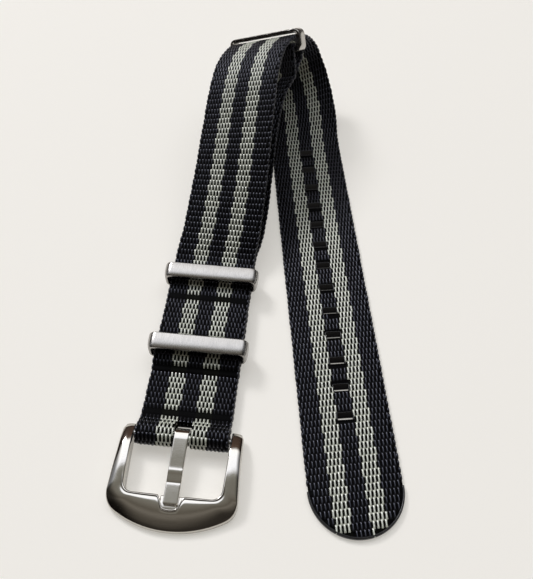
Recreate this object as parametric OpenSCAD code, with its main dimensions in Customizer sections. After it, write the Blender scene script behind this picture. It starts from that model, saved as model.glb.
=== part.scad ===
// Fabric watch strap with two keepers, an end ring and a pin buckle, laid out with its
// buckle end folded back over its tail. Millimetres. The tail lies flat on z = 0 along Y, with the
// origin at the middle of its underside. The fold is at +Y and the buckle at -Y.

/* [Webbing] */
// Width of the webbing
strap_w = 20; // [18:0.5:22]
// Thickness of the webbing
strap_t = 1.2; // [1:0.05:1.3]
// Gap left between two layers of webbing that lie on each other
layer_gap = 0.1; // [0.05:0.05:0.2]
// Length of the flat tail from the middle of its underside to its rounded tip
tail_front = 76; // [70:1:90]
// Distance from the tip to the middle of the nearest slot
slot_start = 26.2; // [20:0.2:30]
// Distance between two slots
slot_pitch = 6.83; // [6:0.01:7.5]
// Number of slots
slot_count = 13; // [6:1:14]
// Size of a slot across the webbing
slot_w = 3.5; // [3:0.1:4.5]
// Size of a slot along the webbing
slot_l = 1.7; // [1.4:0.1:2.4]

/* [Buckle] */
// Clear width between the two rails, beyond the webbing's own width
rail_play = 0.6; // [0.4:0.1:1.2]
// Width of a rail at the spring bar
rail_w = 1.8; // [1.6:0.1:2.4]
// How much wider the frame grows on each side towards its front
frame_flare = 1.2; // [0.4:0.1:2]
// Distance from the spring bar to the front edge
frame_reach = 19.2; // [18:0.2:22]
// Distance from the spring bar to the front bar's inner edge
window_reach = 12.3; // [11.5:0.1:13]
// Radius of the front edge, seen from above
front_r = 21; // [19:0.5:26]
// Length of a lug beyond the spring bar
lug_l = 2; // [1.6:0.1:2.6]
// Height of the spring bar's axis above the table
bar_z = 2.6; // [2.5:0.05:2.8]
// Width of the tongue
tongue_w = 3; // [2.4:0.1:3.4]
// Thickness of the tongue
tongue_t = 1; // [0.8:0.05:1.1]
// Distance from the spring bar to the tongue's tip
tongue_reach = 14.3; // [13.8:0.1:15]

/* [Spring bar] */
// Radius of the tube
tube_r = 0.9; // [0.75:0.05:1]
// Wall of the tube
tube_wall = 0.3; // [0.2:0.05:0.35]
// Free travel of each pin into the tube
pin_travel = 1.1; // [0.9:0.1:1.2]
// Radius of a pin's tip
pin_tip_r = 0.4; // [0.3:0.05:0.5]
// Radial running clearance of the pins, the tube and the tongue's eye
run_gap = 0.05; // [0.03:0.01:0.08]
// Turns of the coil
coil_turns = 12; // [8:1:16]
// Radius of the coil's wire
coil_wire_r = 0.1; // [0.08:0.01:0.12]

/* [Rings] */
// Thickness of a ring's bars
ring_bar = 1.2; // [1:0.05:1.3]
// Width of a ring along the webbing
ring_l = 3.2; // [2.6:0.1:3.6]
// Clear height inside a keeper
keeper_gap = 3; // [2.8:0.1:3.4]
// Clear height inside the end ring
end_gap = 3.9; // [3.8:0.1:4.6]
// Clear width of a keeper beyond the webbing's own width, on each side
ring_play = 0.2; // [0.1:0.05:0.4]
// Clear width of the end ring beyond the webbing's own width, on each side
end_play = 0.5; // [0.4:0.05:0.8]
// Outer corner radius of a ring
ring_corner = 1.5; // [1.4:0.05:1.6]

/* [Seams] */
// Depth of a welded seam's groove
seam_depth = 0.3; // [0.1:0.05:0.4]
// Width of a welded seam's groove
seam_w = 0.9; // [0.6:0.1:1.4]

/* [Hidden] */
$fn = 48;
half_w = strap_w / 2;
half_t = strap_t / 2;
joint_lap = 0.05;
edge_in = 0.01;
through = 1;

// Where the spring bar lies, and how far the buckle end turns away from the tail
head_x = -35;
head_y = -53.4;
head_yaw = 9.8;

// Distances along the webbing from the spring bar
seam_a = 4.4;
seam_b = 14.4;
seam_c = 32.9;
keeper_2_at = 20.7;
keeper_1_at = 40.4;
fold_back_end = 33.6;
under_start = 31.6;
head_end = 48;

// Heights of the layers' middles, and of the underside of a keeper
lift = 0.05;
bar_gap = 0.08;
loop_gap = 0.25;
low_z = half_t + lift;
mid_z = low_z + strap_t + layer_gap;
ring_low_z = low_z + half_t + bar_gap;
over_ring_z = ring_low_z + ring_bar + bar_gap + half_t;
loop_r = tube_r + loop_gap + half_t;
loop_top = bar_z + loop_r;

// Middle line of the fold, as x, y, height, turn of the width about Z, and lift of its right end:
// up from the keepers, over the crest, down its back and forward again to the tail
tail_back = 35;
fold_route = [[-25.1, -0.1, 6.3, -12.5, 3], [-22.2, 13.3, 11.5, -15, 8.5],
              [-19.9, 25.4, 16.6, -16.5, 13.5], [-17.6, 36.9, 21.3, -18, 17],
              [-15.3, 45.8, 23.2, -21, 18.5], [-12.4, 52.2, 23.1, -25, 21],
              [-9.2, 56.7, 21.2, -24.5, 24], [-6.3, 59.6, 17.8, -20, 26.5],
              [-3.9, 60.7, 14, -13, 27], [-2.4, 59.3, 10.2, -5, 24.5],
              [-1.1, 55.6, 7.1, 1, 19.5], [-0.2, 50.6, 4.7, 2, 12.5],
              [0.2, 45.1, 2.9, 1, 6], [0.1, 39.8, 1.4, 0, 1.5], [0, tail_back, half_t, 0, 0]];

// Middle line of the buckle end, as distance and height: the lower layer runs back to the bar,
// turns round it, and the upper layer runs out over both keepers' lower bars and climbs to the fold
climb = [[44, over_ring_z + 0.12], [head_end, over_ring_z + 0.75]];
lower_run = [[fold_back_end, low_z], [24, low_z], [12, low_z], [5, low_z], [2.6, low_z]];
upper_run = concat([[1.3, loop_top - 0.2], [2.6, loop_top - 1.15], [3.7, mid_z + 0.25],
                    [seam_a + 0.6, mid_z + 0.02], [7.5, mid_z + 0.06], [11.5, mid_z + 0.06],
                    [seam_b, mid_z + 0.03], [16.6, mid_z + 0.7], [18, over_ring_z],
                    [22, over_ring_z + 0.05], [28.4, over_ring_z + 0.05], [seam_c, over_ring_z],
                    [37, over_ring_z], [keeper_1_at, over_ring_z + 0.03]],
                   climb);

// The under-strap: where it lies on the table, and its slack route from there up to the end ring
under_table = 41;
under_flat_end = 50;
under_slack = [[-24.4, 2, 0.95, -11, 0.5], [-22.5, 9.7, 2.4, -12.5, 2], [-20.3, 20.4, 6.1, -14, 7],
               [-17.8, 32, 10.2, -17.5, 14], [-14.4, 42.4, 12.4, -23, 21]];

// The end ring's middle, its turn about Z, its lift to the right and its pitch down the fold
end_ring_at = [-9.8, 55.7, 20.5];
end_ring_yaw = -26;
end_ring_roll = 24;
end_ring_pitch = -28;

function unit(v) = v / norm(v);
function blend(a, b, c, d, t) =
    0.5 * (2 * b + (c - a) * t + (2 * a - 5 * b + 4 * c - d) * t * t
           + (3 * b - a - 3 * c + d) * t * t * t);

// A smooth line through points, left out before index first and after index last
function smooth(p, first, last, steps) =
    [for (i = [first : last - 1]) for (k = [0 : steps - 1])
        blend(p[max(i - 1, 0)], p[i], p[i + 1], p[min(i + 2, len(p) - 1)], k / steps),
     p[last]];

function arc(cx, cy, r, from, to, steps) =
    [for (i = [0 : steps]) let (a = from + (to - from) * i / steps)
        [cx + r * cos(a), cy + r * sin(a)]];

// Sideways direction of a flat line at index i
function side(p, i) =
    let (d = unit(p[min(i + 1, len(p) - 1)] - p[max(i - 1, 0)])) [-d[1], d[0]];

// Outline of a band of the given half thickness along a flat line
function band(p, h) =
    concat([for (i = [0 : len(p) - 1]) p[i] + side(p, i) * h],
           [for (i = [len(p) - 1 : -1 : 0]) p[i] - side(p, i) * h]);

// A station on the buckle end's line, as a station of the fold's route
function head_station(s, z, right) =
    [head_x + s * sin(head_yaw) + right * cos(head_yaw),
     head_y + s * cos(head_yaw) - right * sin(head_yaw), z, -head_yaw, 0];

function head_distance(st) = (st[0] - head_x) * sin(head_yaw) + (st[1] - head_y) * cos(head_yaw);

function place(st) = [st[0], st[1], st[2]];
function across(st) =
    [cos(st[3]) * cos(st[4]), sin(st[3]) * cos(st[4]), sin(st[4])];
function along(sts, i) =
    unit(place(sts[min(i + 1, len(sts) - 1)]) - place(sts[max(i - 1, 0)]));
function up(sts, i) = unit(cross(across(sts[i]), along(sts, i)));

// Four corners of the webbing at a station, drawn in a little where it ends inside another piece
function corners(c, w, n, draw_in) =
    let (a = w * (half_w - draw_in), b = n * (half_t - draw_in))
        [c - a - b, c + a - b, c + a + b, c - a + b];

// Sections of a ribbon through all stations, with its two ends a little inside what they meet
function sections(sts) =
    let (last = len(sts) - 1)
        [for (i = [0 : last])
            let (end = i == 0 ? -1 : i == last ? 1 : 0)
                corners(place(sts[i]) + along(sts, i) * joint_lap * end, across(sts[i]), up(sts, i),
                        edge_in * abs(end))];

function closed_faces(count) =
    concat([[3, 2, 1], [3, 1, 0]],
           [for (i = [0 : count - 2]) for (k = [0 : 3])
               let (a = i * 4 + k, b = i * 4 + (k + 1) % 4) each [[a, b, b + 4], [a, b + 4, a + 4]]],
           [let (e = (count - 1) * 4) each [[e, e + 1, e + 2], [e, e + 2, e + 3]]]);

module ribbon(rows) {
    polyhedron(points = [for (r = rows) each r], faces = closed_faces(len(rows)), convexity = 6);
}

module at_head() {
    translate([head_x, head_y, 0]) rotate([0, 0, -head_yaw]) children();
}

// Turns an outline drawn as distance and height into a solid of the given width
module side_extrude(w) {
    rotate([90, 0, 90]) linear_extrude(w, center = true) children();
}

// Buckle end of the main strap, guided by where the fold goes on
after_head = [head_distance(fold_route[0]), fold_route[0][2]];
main_line = concat(smooth(lower_run, 0, len(lower_run) - 1, 2),
                   arc(0, bar_z, loop_r, 270, 90, 14),
                   smooth(concat(upper_run, [after_head]), 0, len(upper_run) - 1, 3));

// Fold of the main strap, with the stations on both sides of it as guides
fold_guides = concat([for (p = climb) head_station(p[0], p[1], 0)], fold_route,
                     [[0, tail_back - 7, half_t, 0, 0]]);
fold_line = smooth(fold_guides, 1, len(fold_guides) - 2, 7);

module slots() {
    for (i = [0 : slot_count - 1])
        translate([0, slot_start - tail_front + i * slot_pitch, half_t])
            cube([slot_w, slot_l, 3 * strap_t], center = true);
}

module tail() {
    tail_run = tail_front - half_w;
    linear_extrude(strap_t) {
        translate([-half_w, -tail_run]) square([strap_w, tail_run + tail_back]);
        translate([0, -tail_run]) circle(half_w, $fn = 96);
    }
}

module seam_groove(s, z) {
    translate([0, s, z + half_t]) cube([strap_w + through, seam_w, 2 * seam_depth], center = true);
}

tongue_play = 0.3;
eye_r = tube_r + run_gap + tongue_t - 0.1;
tongue_slot = eye_r + 1.65;

module main_head() {
    difference() {
        side_extrude(strap_w) polygon(band(main_line, half_t));
        seam_groove(seam_a, mid_z + 0.05);
        seam_groove(seam_b, mid_z);
        seam_groove(seam_c, over_ring_z);
        translate([0, 0, bar_z])
            cube([tongue_w + 2 * tongue_play, 2 * tongue_slot, 4 * loop_r], center = true);
    }
}

module main_strap() {
    color("#2a2b2e") {
        at_head() main_head();
        ribbon(sections(fold_line));
        difference() {
            tail();
            slots();
        }
    }
}

// The end loop goes up one side of the end ring's lower bar, over it and down the other side,
// and its end is welded to the layer that it came up by
end_bar_z = -(end_gap + ring_bar) / 2;
end_loop_gap = 0.3;
loop_corner = 1.2;
loop_side = ring_l / 2 + end_loop_gap + half_t;
loop_over = end_bar_z + ring_bar / 2 + end_loop_gap + half_t;
loop_leg = 6.4;
loop_start = [-loop_side - 0.8, end_bar_z - loop_leg];

// A station of the under-strap at a point of the end ring's own side view
function ring_station(p) =
    let (a = p[0] * cos(end_ring_pitch) - p[1] * sin(end_ring_pitch),
         b = p[0] * sin(end_ring_pitch) + p[1] * cos(end_ring_pitch), x = -b * sin(end_ring_roll))
        [end_ring_at[0] + x * cos(end_ring_yaw) - a * sin(end_ring_yaw),
         end_ring_at[1] + x * sin(end_ring_yaw) + a * cos(end_ring_yaw),
         end_ring_at[2] + b * cos(end_ring_roll), end_ring_yaw, end_ring_roll];

// Flat start of the under-strap, which begins between the two layers of the main strap
under_drop = fold_back_end + 0.4;
under_line = smooth([[under_start, mid_z - 0.02], [under_drop - 0.9, mid_z - 0.02],
                     [under_drop, mid_z - 0.04], [under_drop + 1.7, mid_z - 0.65],
                     [under_drop + 3, low_z + 0.08], [under_drop + 4.4, low_z],
                     [under_table, low_z], [under_flat_end, low_z]], 0, 7, 3);

// Its raised run, as far as the start of the end loop
under_guides = concat([head_station(under_table, low_z, 0), head_station(under_flat_end, low_z, 0)],
                      under_slack, [ring_station(loop_start), ring_station(loop_start + [0.25, 2])]);
under_route = smooth(under_guides, 1, len(under_guides) - 2, 5);

module under_strap() {
    color("#2a2b2e") {
        at_head() side_extrude(strap_w) polygon(band(under_line, half_t));
        ribbon(sections(under_route));
        at_end_ring() end_loop();
    }
}

// The end ring stands across the strap, and its lower bar lies in a loop of the under-strap
module at_end_ring() {
    translate(end_ring_at) rotate([0, 0, end_ring_yaw]) rotate([0, -end_ring_roll, 0])
        rotate([end_ring_pitch, 0, 0]) children();
}

module end_loop() {
    corner_x = loop_side - loop_corner;
    corner_z = loop_over - loop_corner;
    loop_line = concat([loop_start, [-loop_side - 0.45, end_bar_z - 4],
                        [-loop_side - 0.1, end_bar_z - 1.6]],
                       arc(-corner_x, corner_z, loop_corner, 180, 90, 5),
                       arc(corner_x, corner_z, loop_corner, 90, 0, 5),
                       [[loop_side - 0.1, end_bar_z - 1], [loop_side - 1, end_bar_z - 2.4],
                        [0, end_bar_z - 3.5], [-loop_side + 1.1, end_bar_z - 4.6],
                        [-loop_side + 0.7, end_bar_z - loop_leg + 0.2]]);
    side_extrude(strap_w) polygon(band(loop_line, half_t));
}

// Buckle
rail_in = half_w + rail_play / 2;
rail_out = rail_in + rail_w;
front_out = rail_out + frame_flare;
notch_w = tongue_w + 0.9;
notch_end = tongue_reach + 0.6;
seat_z = 2.15;
seat_gap = 0.04;
bore_spare = 0.3;

module frame_plan() {
    intersection() {
        polygon([[-front_out, -frame_reach], [front_out, -frame_reach],
                 [front_out, -window_reach], [rail_out, lug_l], [-rail_out, lug_l],
                 [-front_out, -window_reach]]);
        translate([0, front_r - frame_reach]) circle(front_r, $fn = 180);
    }
}

// The window is open towards the strap and has round corners at the front
module window_plan() {
    corner = 2;
    half_front = rail_in - 0.4;
    length = window_reach + lug_l + through;
    translate([-half_front + corner, -window_reach]) square([2 * (half_front - corner), length]);
    translate([-half_front, -window_reach + corner]) square([2 * half_front, length - corner]);
    for (m = [-1, 1])
        translate([m * (half_front - corner), -window_reach + corner]) circle(corner);
    translate([-rail_in, -window_reach / 2]) square([2 * rail_in, length - window_reach / 2]);
}

module frame_side() {
    back = lug_l + 0.5;
    front = -frame_reach;
    polygon([[back, bar_z + 1.3], [-2, bar_z + 1.5], [-7, bar_z + 1.35],
             [-window_reach, 3.4], [front + 3.7, 2.9], [front + 1.6, 2.2], [front + 0.4, 1.4],
             [front - 0.1, 0.8], [front - 0.1, 0.25], [front + 0.6, 0],
             [front + 4.2, 0], [-9, 0.35], [0, bar_z - 1.6], [back, bar_z - 1.5]]);
}

module buckle_frame() {
    color("#a9a8a4") at_head() difference() {
        intersection() {
            linear_extrude(8) difference() {
                frame_plan();
                window_plan();
            }
            side_extrude(2 * front_out + 2) frame_side();
        }
        translate([-notch_w / 2, -notch_end, seat_z])
            cube([notch_w, notch_end - window_reach + through, bar_z]);
        for (m = [-1, 1])
            translate([m * (rail_in - through), 0, bar_z]) rotate([0, m * 90, 0])
                cylinder(r = pin_tip_r + run_gap, h = through + pin_travel + bore_spare);
    }
}

module tongue_side() {
    top = bar_z + eye_r;
    low = seat_z + seat_gap + tongue_t;
    bend = -window_reach + 1.9;
    difference() {
        union() {
            translate([0, bar_z]) circle(eye_r);
            polygon([[0, top], [bend + 2.7, top - 0.1], [bend, low], [-tongue_reach + 0.4, low - 0.05],
                     [-tongue_reach, low - 0.35], [-tongue_reach, low - tongue_t + 0.1],
                     [-tongue_reach + 0.2, low - tongue_t], [bend - 0.2, low - tongue_t],
                     [bend + 2.5, top - 0.1 - tongue_t], [-1, top - tongue_t], [0, bar_z]]);
        }
        translate([0, bar_z]) circle(tube_r + run_gap);
    }
}

module buckle_tongue() {
    color("#c4c4c2") at_head() side_extrude(tongue_w) tongue_side();
}

// Spring bar
flange_gap = 0.05;
flange_l = 0.35;
tube_half = rail_in - 2 * flange_gap - flange_l - pin_travel;
pin_r = tube_r - tube_wall - run_gap;
pin_inner = tube_half - 3.4;
pin_bury = 0.05;

module spring_bar_tube() {
    color("#b8b9bb") at_head() translate([0, 0, bar_z]) rotate([0, 90, 0]) difference() {
        cylinder(r = tube_r, h = 2 * tube_half, center = true);
        cylinder(r = tube_r - tube_wall, h = 2 * tube_half + 1, center = true);
    }
}

// A pin points along +Z from the tube's middle
module pin() {
    flange_at = rail_in - flange_gap - flange_l;
    translate([0, 0, pin_inner]) cylinder(r = pin_r, h = flange_at - pin_inner + pin_bury);
    translate([0, 0, flange_at]) cylinder(r = pin_r + 0.25, h = flange_l);
    translate([0, 0, rail_in - 2 * flange_gap]) cylinder(r = pin_tip_r, h = pin_travel + 2 * flange_gap);
}

module spring_bar_pin_left() {
    color("#c9cacc") at_head() translate([0, 0, bar_z]) rotate([0, -90, 0]) pin();
}

module spring_bar_pin_right() {
    color("#c9cacc") at_head() translate([0, 0, bar_z]) rotate([0, 90, 0]) pin();
}

coil_sides = 6;
coil_rings = 12;
coil_r = pin_r - coil_wire_r;
coil_half = pin_inner - coil_wire_r - run_gap;

// Points of one section of the coil's wire, at a share of its whole length
function coil_section(f) =
    let (a = 360 * coil_turns * f, x = -coil_half + 2 * coil_half * f)
    [for (k = [0 : coil_sides - 1]) let (b = 360 * k / coil_sides, r = coil_r + coil_wire_r * cos(b))
        [x + coil_wire_r * sin(b), r * cos(a), r * sin(a)]];

coil_count = coil_turns * coil_rings + 1;
coil_points = [for (i = [0 : coil_count - 1]) each coil_section(i / (coil_count - 1))];
coil_faces = concat(
    [[for (k = [0 : coil_sides - 1]) k]],
    [for (i = [0 : coil_count - 2]) for (k = [0 : coil_sides - 1])
        let (a = i * coil_sides + k, b = i * coil_sides + (k + 1) % coil_sides)
        each [[a, a + coil_sides, b], [b, a + coil_sides, b + coil_sides]]],
    [[for (k = [coil_sides - 1 : -1 : 0]) (coil_count - 1) * coil_sides + k]]);

module spring_bar_coil() {
    echo(coil_gap = 2 * coil_half / coil_turns - 2 * coil_wire_r);
    color("#8f9194") at_head() translate([0, 0, bar_z])
        polyhedron(points = coil_points, faces = coil_faces, convexity = 8);
}

// Rings
module round_box(w, h, r) {
    square([w - 2 * r, h], center = true);
    square([w, h - 2 * r], center = true);
    for (x = [-1, 1]) for (y = [-1, 1])
        translate([x * (w / 2 - r), y * (h / 2 - r)]) circle(r);
}

// A ring round the webbing, with its middle at the origin and its opening along Y
module ring(gap, play) {
    in_w = strap_w + 2 * play;
    rotate([90, 0, 0]) linear_extrude(ring_l, center = true) difference() {
        round_box(in_w + 2 * ring_bar, gap + 2 * ring_bar, ring_corner);
        round_box(in_w, gap, ring_corner - ring_bar);
    }
}

module keeper(s) {
    at_head() translate([0, s, ring_low_z + ring_bar + keeper_gap / 2]) ring(keeper_gap, ring_play);
}

module keeper_ring_1() {
    color("#b3b0aa") keeper(keeper_1_at);
}

module keeper_ring_2() {
    color("#b3b0aa") keeper(keeper_2_at);
}

module end_ring() {
    color("#b3b0aa") at_end_ring() ring(end_gap, end_play);
}

main_strap();
under_strap();
buckle_frame();
buckle_tongue();
spring_bar_tube();
spring_bar_pin_left();
spring_bar_pin_right();
spring_bar_coil();
keeper_ring_1();
keeper_ring_2();
end_ring();
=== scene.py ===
"""Fabric watch strap of striped webbing with two keepers, an end ring and a pin buckle.

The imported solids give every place. This script weaves the webbing yarn by yarn, gives the metal
pieces their rounded and polished forms, and sets the floor, the lights and the camera.
Lengths are millimetres until a mesh is made, and metres from there on.
"""
import logging
import math
from dataclasses import dataclass, field
from enum import Enum
from typing import Callable, Iterable, Sequence

import bmesh
import bpy
from mathutils import Matrix, Vector


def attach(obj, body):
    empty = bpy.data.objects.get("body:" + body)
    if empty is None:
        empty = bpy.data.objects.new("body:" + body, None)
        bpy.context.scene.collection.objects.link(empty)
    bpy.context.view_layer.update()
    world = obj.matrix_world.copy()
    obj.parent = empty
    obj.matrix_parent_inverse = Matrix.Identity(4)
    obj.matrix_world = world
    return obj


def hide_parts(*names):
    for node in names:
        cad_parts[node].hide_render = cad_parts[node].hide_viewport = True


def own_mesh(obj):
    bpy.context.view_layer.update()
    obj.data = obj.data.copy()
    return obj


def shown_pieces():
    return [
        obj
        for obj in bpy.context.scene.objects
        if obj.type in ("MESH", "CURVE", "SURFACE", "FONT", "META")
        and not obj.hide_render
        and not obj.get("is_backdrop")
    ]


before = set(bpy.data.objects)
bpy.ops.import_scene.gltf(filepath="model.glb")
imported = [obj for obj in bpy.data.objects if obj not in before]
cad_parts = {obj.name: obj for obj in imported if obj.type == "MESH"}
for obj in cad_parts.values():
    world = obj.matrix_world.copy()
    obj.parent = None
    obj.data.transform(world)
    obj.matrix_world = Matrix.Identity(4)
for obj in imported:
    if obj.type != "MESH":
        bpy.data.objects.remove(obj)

LOG = logging.getLogger("watch_strap")
MM = 0.001
FAR = 1000.0  # Metres: where an opening lies that a length of webbing doesn't have
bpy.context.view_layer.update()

Flat = tuple[float, float]
Loop = list[Flat]
Stations = tuple[list[Vector], list[Vector]]


class Face(Enum):
    """Side of the webbing, as the sign of its distance from the middle."""

    OUTER = 1
    INNER = -1


class Shade(Enum):
    """Which of the two yarns a weave holds."""

    GROUND = 0
    STRIPE = 1


# Nodes


class Term:
    """One output of a node. Python's operators on it add Math nodes to its tree."""

    def __init__(self, node: bpy.types.Node, output: int | str = 0) -> None:
        """Take an output by its number or name."""
        self.node, self.tree = node, node.id_data
        self.socket = node.outputs[output] if node.outputs else None

    def __getitem__(self, output: int | str) -> "Term":
        """Another output of the same node."""
        return Term(self.node, output)

    def math(self, operation: str, *others: "Term | float") -> "Term":
        """Add a Math node whose first input is this output."""
        return add_node(self.tree, "ShaderNodeMath", dict(enumerate((self, *others))),
                        operation=operation)

    def __add__(self, other: "Term | float") -> "Term":
        return self.math("ADD", other)

    def __sub__(self, other: "Term | float") -> "Term":
        return self.math("SUBTRACT", other)

    def __rsub__(self, other: float) -> "Term":
        return add_node(self.tree, "ShaderNodeMath", {0: other, 1: self}, operation="SUBTRACT")

    def __mul__(self, other: "Term | float") -> "Term":
        return self.math("MULTIPLY", other)

    def __truediv__(self, other: "Term | float") -> "Term":
        return self.math("DIVIDE", other)

    def __lt__(self, other: "Term | float") -> "Term":
        return self.math("LESS_THAN", other)

    def __gt__(self, other: "Term | float") -> "Term":
        return self.math("GREATER_THAN", other)

    def __abs__(self) -> "Term":
        return self.math("ABSOLUTE")


def fill(node: bpy.types.Node, inputs: dict) -> None:
    """Link terms to a node's inputs and set values on them, by socket name or index."""
    for key, value in inputs.items():
        if isinstance(value, Term):
            node.id_data.links.new(value.socket, node.inputs[key])
        else:
            node.inputs[key].default_value = value


def add_node(tree: bpy.types.NodeTree, kind: str, inputs: dict | None = None,
             **settings: object) -> Term:
    """Add one node.

    Args:
        tree: Node tree that receives it.
        kind: Blender's name of the node type.
        inputs: Values or terms by socket name or index.
        settings: Attributes of the node.

    Returns:
        Its first output.
    """
    node = tree.nodes.new(kind)
    for key, value in settings.items():
        setattr(node, key, value)
    fill(node, inputs or {})
    return Term(node)


def vector(tree: bpy.types.NodeTree, x: object = 0.0, y: object = 0.0, z: object = 0.0) -> Term:
    """Combine three values or terms."""
    return add_node(tree, "ShaderNodeCombineXYZ", {"X": x, "Y": y, "Z": z})


def split(place: Term) -> Term:
    """Split a vector in three."""
    return add_node(place.tree, "ShaderNodeSeparateXYZ", {"Vector": place})


def random_value(tree: bpy.types.NodeTree, low: float, high: float, seed: Term) -> Term:
    """Draw a number for each element."""
    return add_node(tree, "FunctionNodeRandomValue", {"Min": low, "Max": high, "Seed": seed},
                    data_type="FLOAT")[1]


def new_group(name: str, carrier: str, sizes: dict[str, float], counts: Sequence[str],
              forms: Sequence[str] = ()) -> tuple[bpy.types.NodeTree, Term]:
    """Start a geometry node tree.

    Args:
        name: Name of the tree.
        carrier: Name of the input that takes the carrier's own mesh.
        sizes: Lengths in metres and plain numbers, with their defaults.
        counts: Names of the whole-number inputs.
        forms: Names of the object inputs.

    Returns:
        The tree and its group input.
    """
    tree = bpy.data.node_groups.new(name, "GeometryNodeTree")
    for kind, names in (("Geometry", [carrier]), ("Float", sizes), ("Int", counts),
                        ("Object", forms), ("Material", ["Material"])):
        for key in names:
            made = tree.interface.new_socket(key, in_out="INPUT", socket_type=f"NodeSocket{kind}")
            if key in sizes:
                made.default_value = sizes[key]
    tree.interface.new_socket("Result", in_out="OUTPUT", socket_type="NodeSocketGeometry")
    return tree, add_node(tree, "NodeGroupInput")


def close_group(geometry: Term, given: Term) -> bpy.types.NodeTree:
    """Give the finished geometry its material and end the tree."""
    dressed = add_node(geometry.tree, "GeometryNodeSetMaterial", {
        "Geometry": geometry, "Material": given["Material"]})
    add_node(geometry.tree, "NodeGroupOutput", {"Result": dressed})
    return geometry.tree


def instanced(points: Term, form: Term, **more: Term) -> Term:
    """Put a form on each point."""
    return add_node(points.tree, "GeometryNodeInstanceOnPoints", {
        "Points": points, "Instance": form, **more})


def at_position(geometry: Term, place: Term) -> Term:
    """Move each point of a geometry to a place."""
    return add_node(geometry.tree, "GeometryNodeSetPosition", {
        "Geometry": geometry, "Position": place})


def sample(line: Term, key: str, at: Term) -> Term:
    """Read what a guide stores under a name, at a distance along it."""
    kind = "FLOAT" if key == "melted" else "FLOAT_VECTOR"
    stored = add_node(line.tree, "GeometryNodeInputNamedAttribute", {"Name": key}, data_type=kind)
    return add_node(line.tree, "GeometryNodeSampleCurve", {
        "Curves": line, "Value": stored["Attribute"], "Length": at},
        mode="LENGTH", data_type=kind)["Value"]


def bent(flat: Term, line: Term, spot: Term, spread: Term, lift: Term) -> Term:
    """Bend a flat lattice along a guide.

    Args:
        flat: Geometry whose y runs along the guide.
        line: The guide as a curve.
        spot: The geometry's own position, split in three.
        spread: Distance to the guide's side.
        lift: Distance outwards from it.

    Returns:
        The bent geometry.
    """
    ways = [sample(line, key, spot["Y"]) for key in ("across", "outward")]
    moves = [add_node(flat.tree, "ShaderNodeVectorMath", {0: way, "Scale": amount},
                      operation="SCALE") for way, amount in zip(ways, (spread, lift))]
    offset = add_node(flat.tree, "ShaderNodeVectorMath", dict(enumerate(moves)), operation="ADD")
    return at_position(flat, add_node(flat.tree, "ShaderNodeVectorMath", {
        0: ways[0]["Position"], 1: offset}, operation="ADD"))


def baked(name: str, carrier: bpy.types.Object, tree: bpy.types.NodeTree,
          values: dict[str, object]) -> bpy.types.Object:
    """Run a node tree on a carrier and keep the result as a plain mesh.

    Args:
        name: Name of the new piece.
        carrier: Object that the modifier goes on. It is removed afterwards.
        tree: Geometry node tree.
        values: Inputs by name.

    Returns:
        The new piece, at the origin.
    """
    modifier = carrier.modifiers.new("nodes", "NODES")
    modifier.node_group = tree
    sockets = {item.name: item.identifier for item in tree.interface.items_tree
               if item.item_type == "SOCKET" and item.in_out == "INPUT"}
    for key, value in values.items():
        modifier[sockets[key]] = value
    carrier.update_tag()
    bpy.context.view_layer.update()
    graph = bpy.context.evaluated_depsgraph_get()
    mesh = bpy.data.meshes.new_from_object(carrier.evaluated_get(graph),
                                           preserve_all_data_layers=True, depsgraph=graph)
    mesh.name = name
    carrier.modifiers.clear()
    piece = placed(name, mesh)
    bpy.data.objects.remove(carrier)
    return piece


# Meshes


def placed(name: str, data: bpy.types.ID) -> bpy.types.Object:
    """Put a mesh, lamp or camera into the scene."""
    made = bpy.data.objects.new(name, data)
    bpy.context.scene.collection.objects.link(made)
    return made


def new_object(name: str, points: Iterable[Sequence[float]], faces: Iterable[Sequence[int]],
               smooth: bool = True) -> bpy.types.Object:
    """Make a mesh object from points in millimetres.

    Args:
        name: Name of the object and its mesh.
        points: Corner points in the part's frame.
        faces: Corner numbers of each face.
        smooth: Whether the faces are shaded smooth.

    Returns:
        The object, linked to the scene.
    """
    mesh = bpy.data.meshes.new(name)
    mesh.from_pydata([Vector(p) * MM for p in points], [], [list(f) for f in faces])
    mesh.validate()
    mesh.polygons.foreach_set("use_smooth", [smooth] * len(mesh.polygons))
    mesh.update()
    return placed(name, mesh)


def turn_outwards(piece: bpy.types.Object) -> None:
    """Merge doubled corners and point every face outwards."""
    made = bmesh.new()
    made.from_mesh(piece.data)
    bmesh.ops.remove_doubles(made, verts=made.verts, dist=1e-7)
    bmesh.ops.recalc_face_normals(made, faces=made.faces)
    made.to_mesh(piece.data)
    made.free()


def tube_faces(rows: int, count: int) -> list[tuple[int, ...]]:
    """Faces between rows of count points each, row by row."""
    return [(r * count + i, r * count + (i + 1) % count, (r + 1) * count + (i + 1) % count,
             (r + 1) * count + i) for r in range(rows - 1) for i in range(count)]


def end_faces(rows: int, count: int) -> list[tuple[int, ...]]:
    """Faces that close the first and the last row."""
    return [tuple(reversed(range(count))), tuple(range((rows - 1) * count, rows * count))]


def swept(name: str, rows: Sequence[Sequence[Sequence[float]]],
          smooth: bool = True) -> bpy.types.Object:
    """Make a closed tube through rows of equally many points."""
    size = len(rows), len(rows[0])
    piece = new_object(name, [p for row in rows for p in row],
                       tube_faces(*size) + end_faces(*size), smooth)
    turn_outwards(piece)
    return piece


def lay_uv(piece: bpy.types.Object, spots: Sequence[Flat]) -> None:
    """Give each corner of a mesh its place on the flat cloth."""
    layer = piece.data.uv_layers.new(name="UVMap")
    for loop in piece.data.loops:
        layer.data[loop.index].uv = spots[loop.vertex_index]


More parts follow.
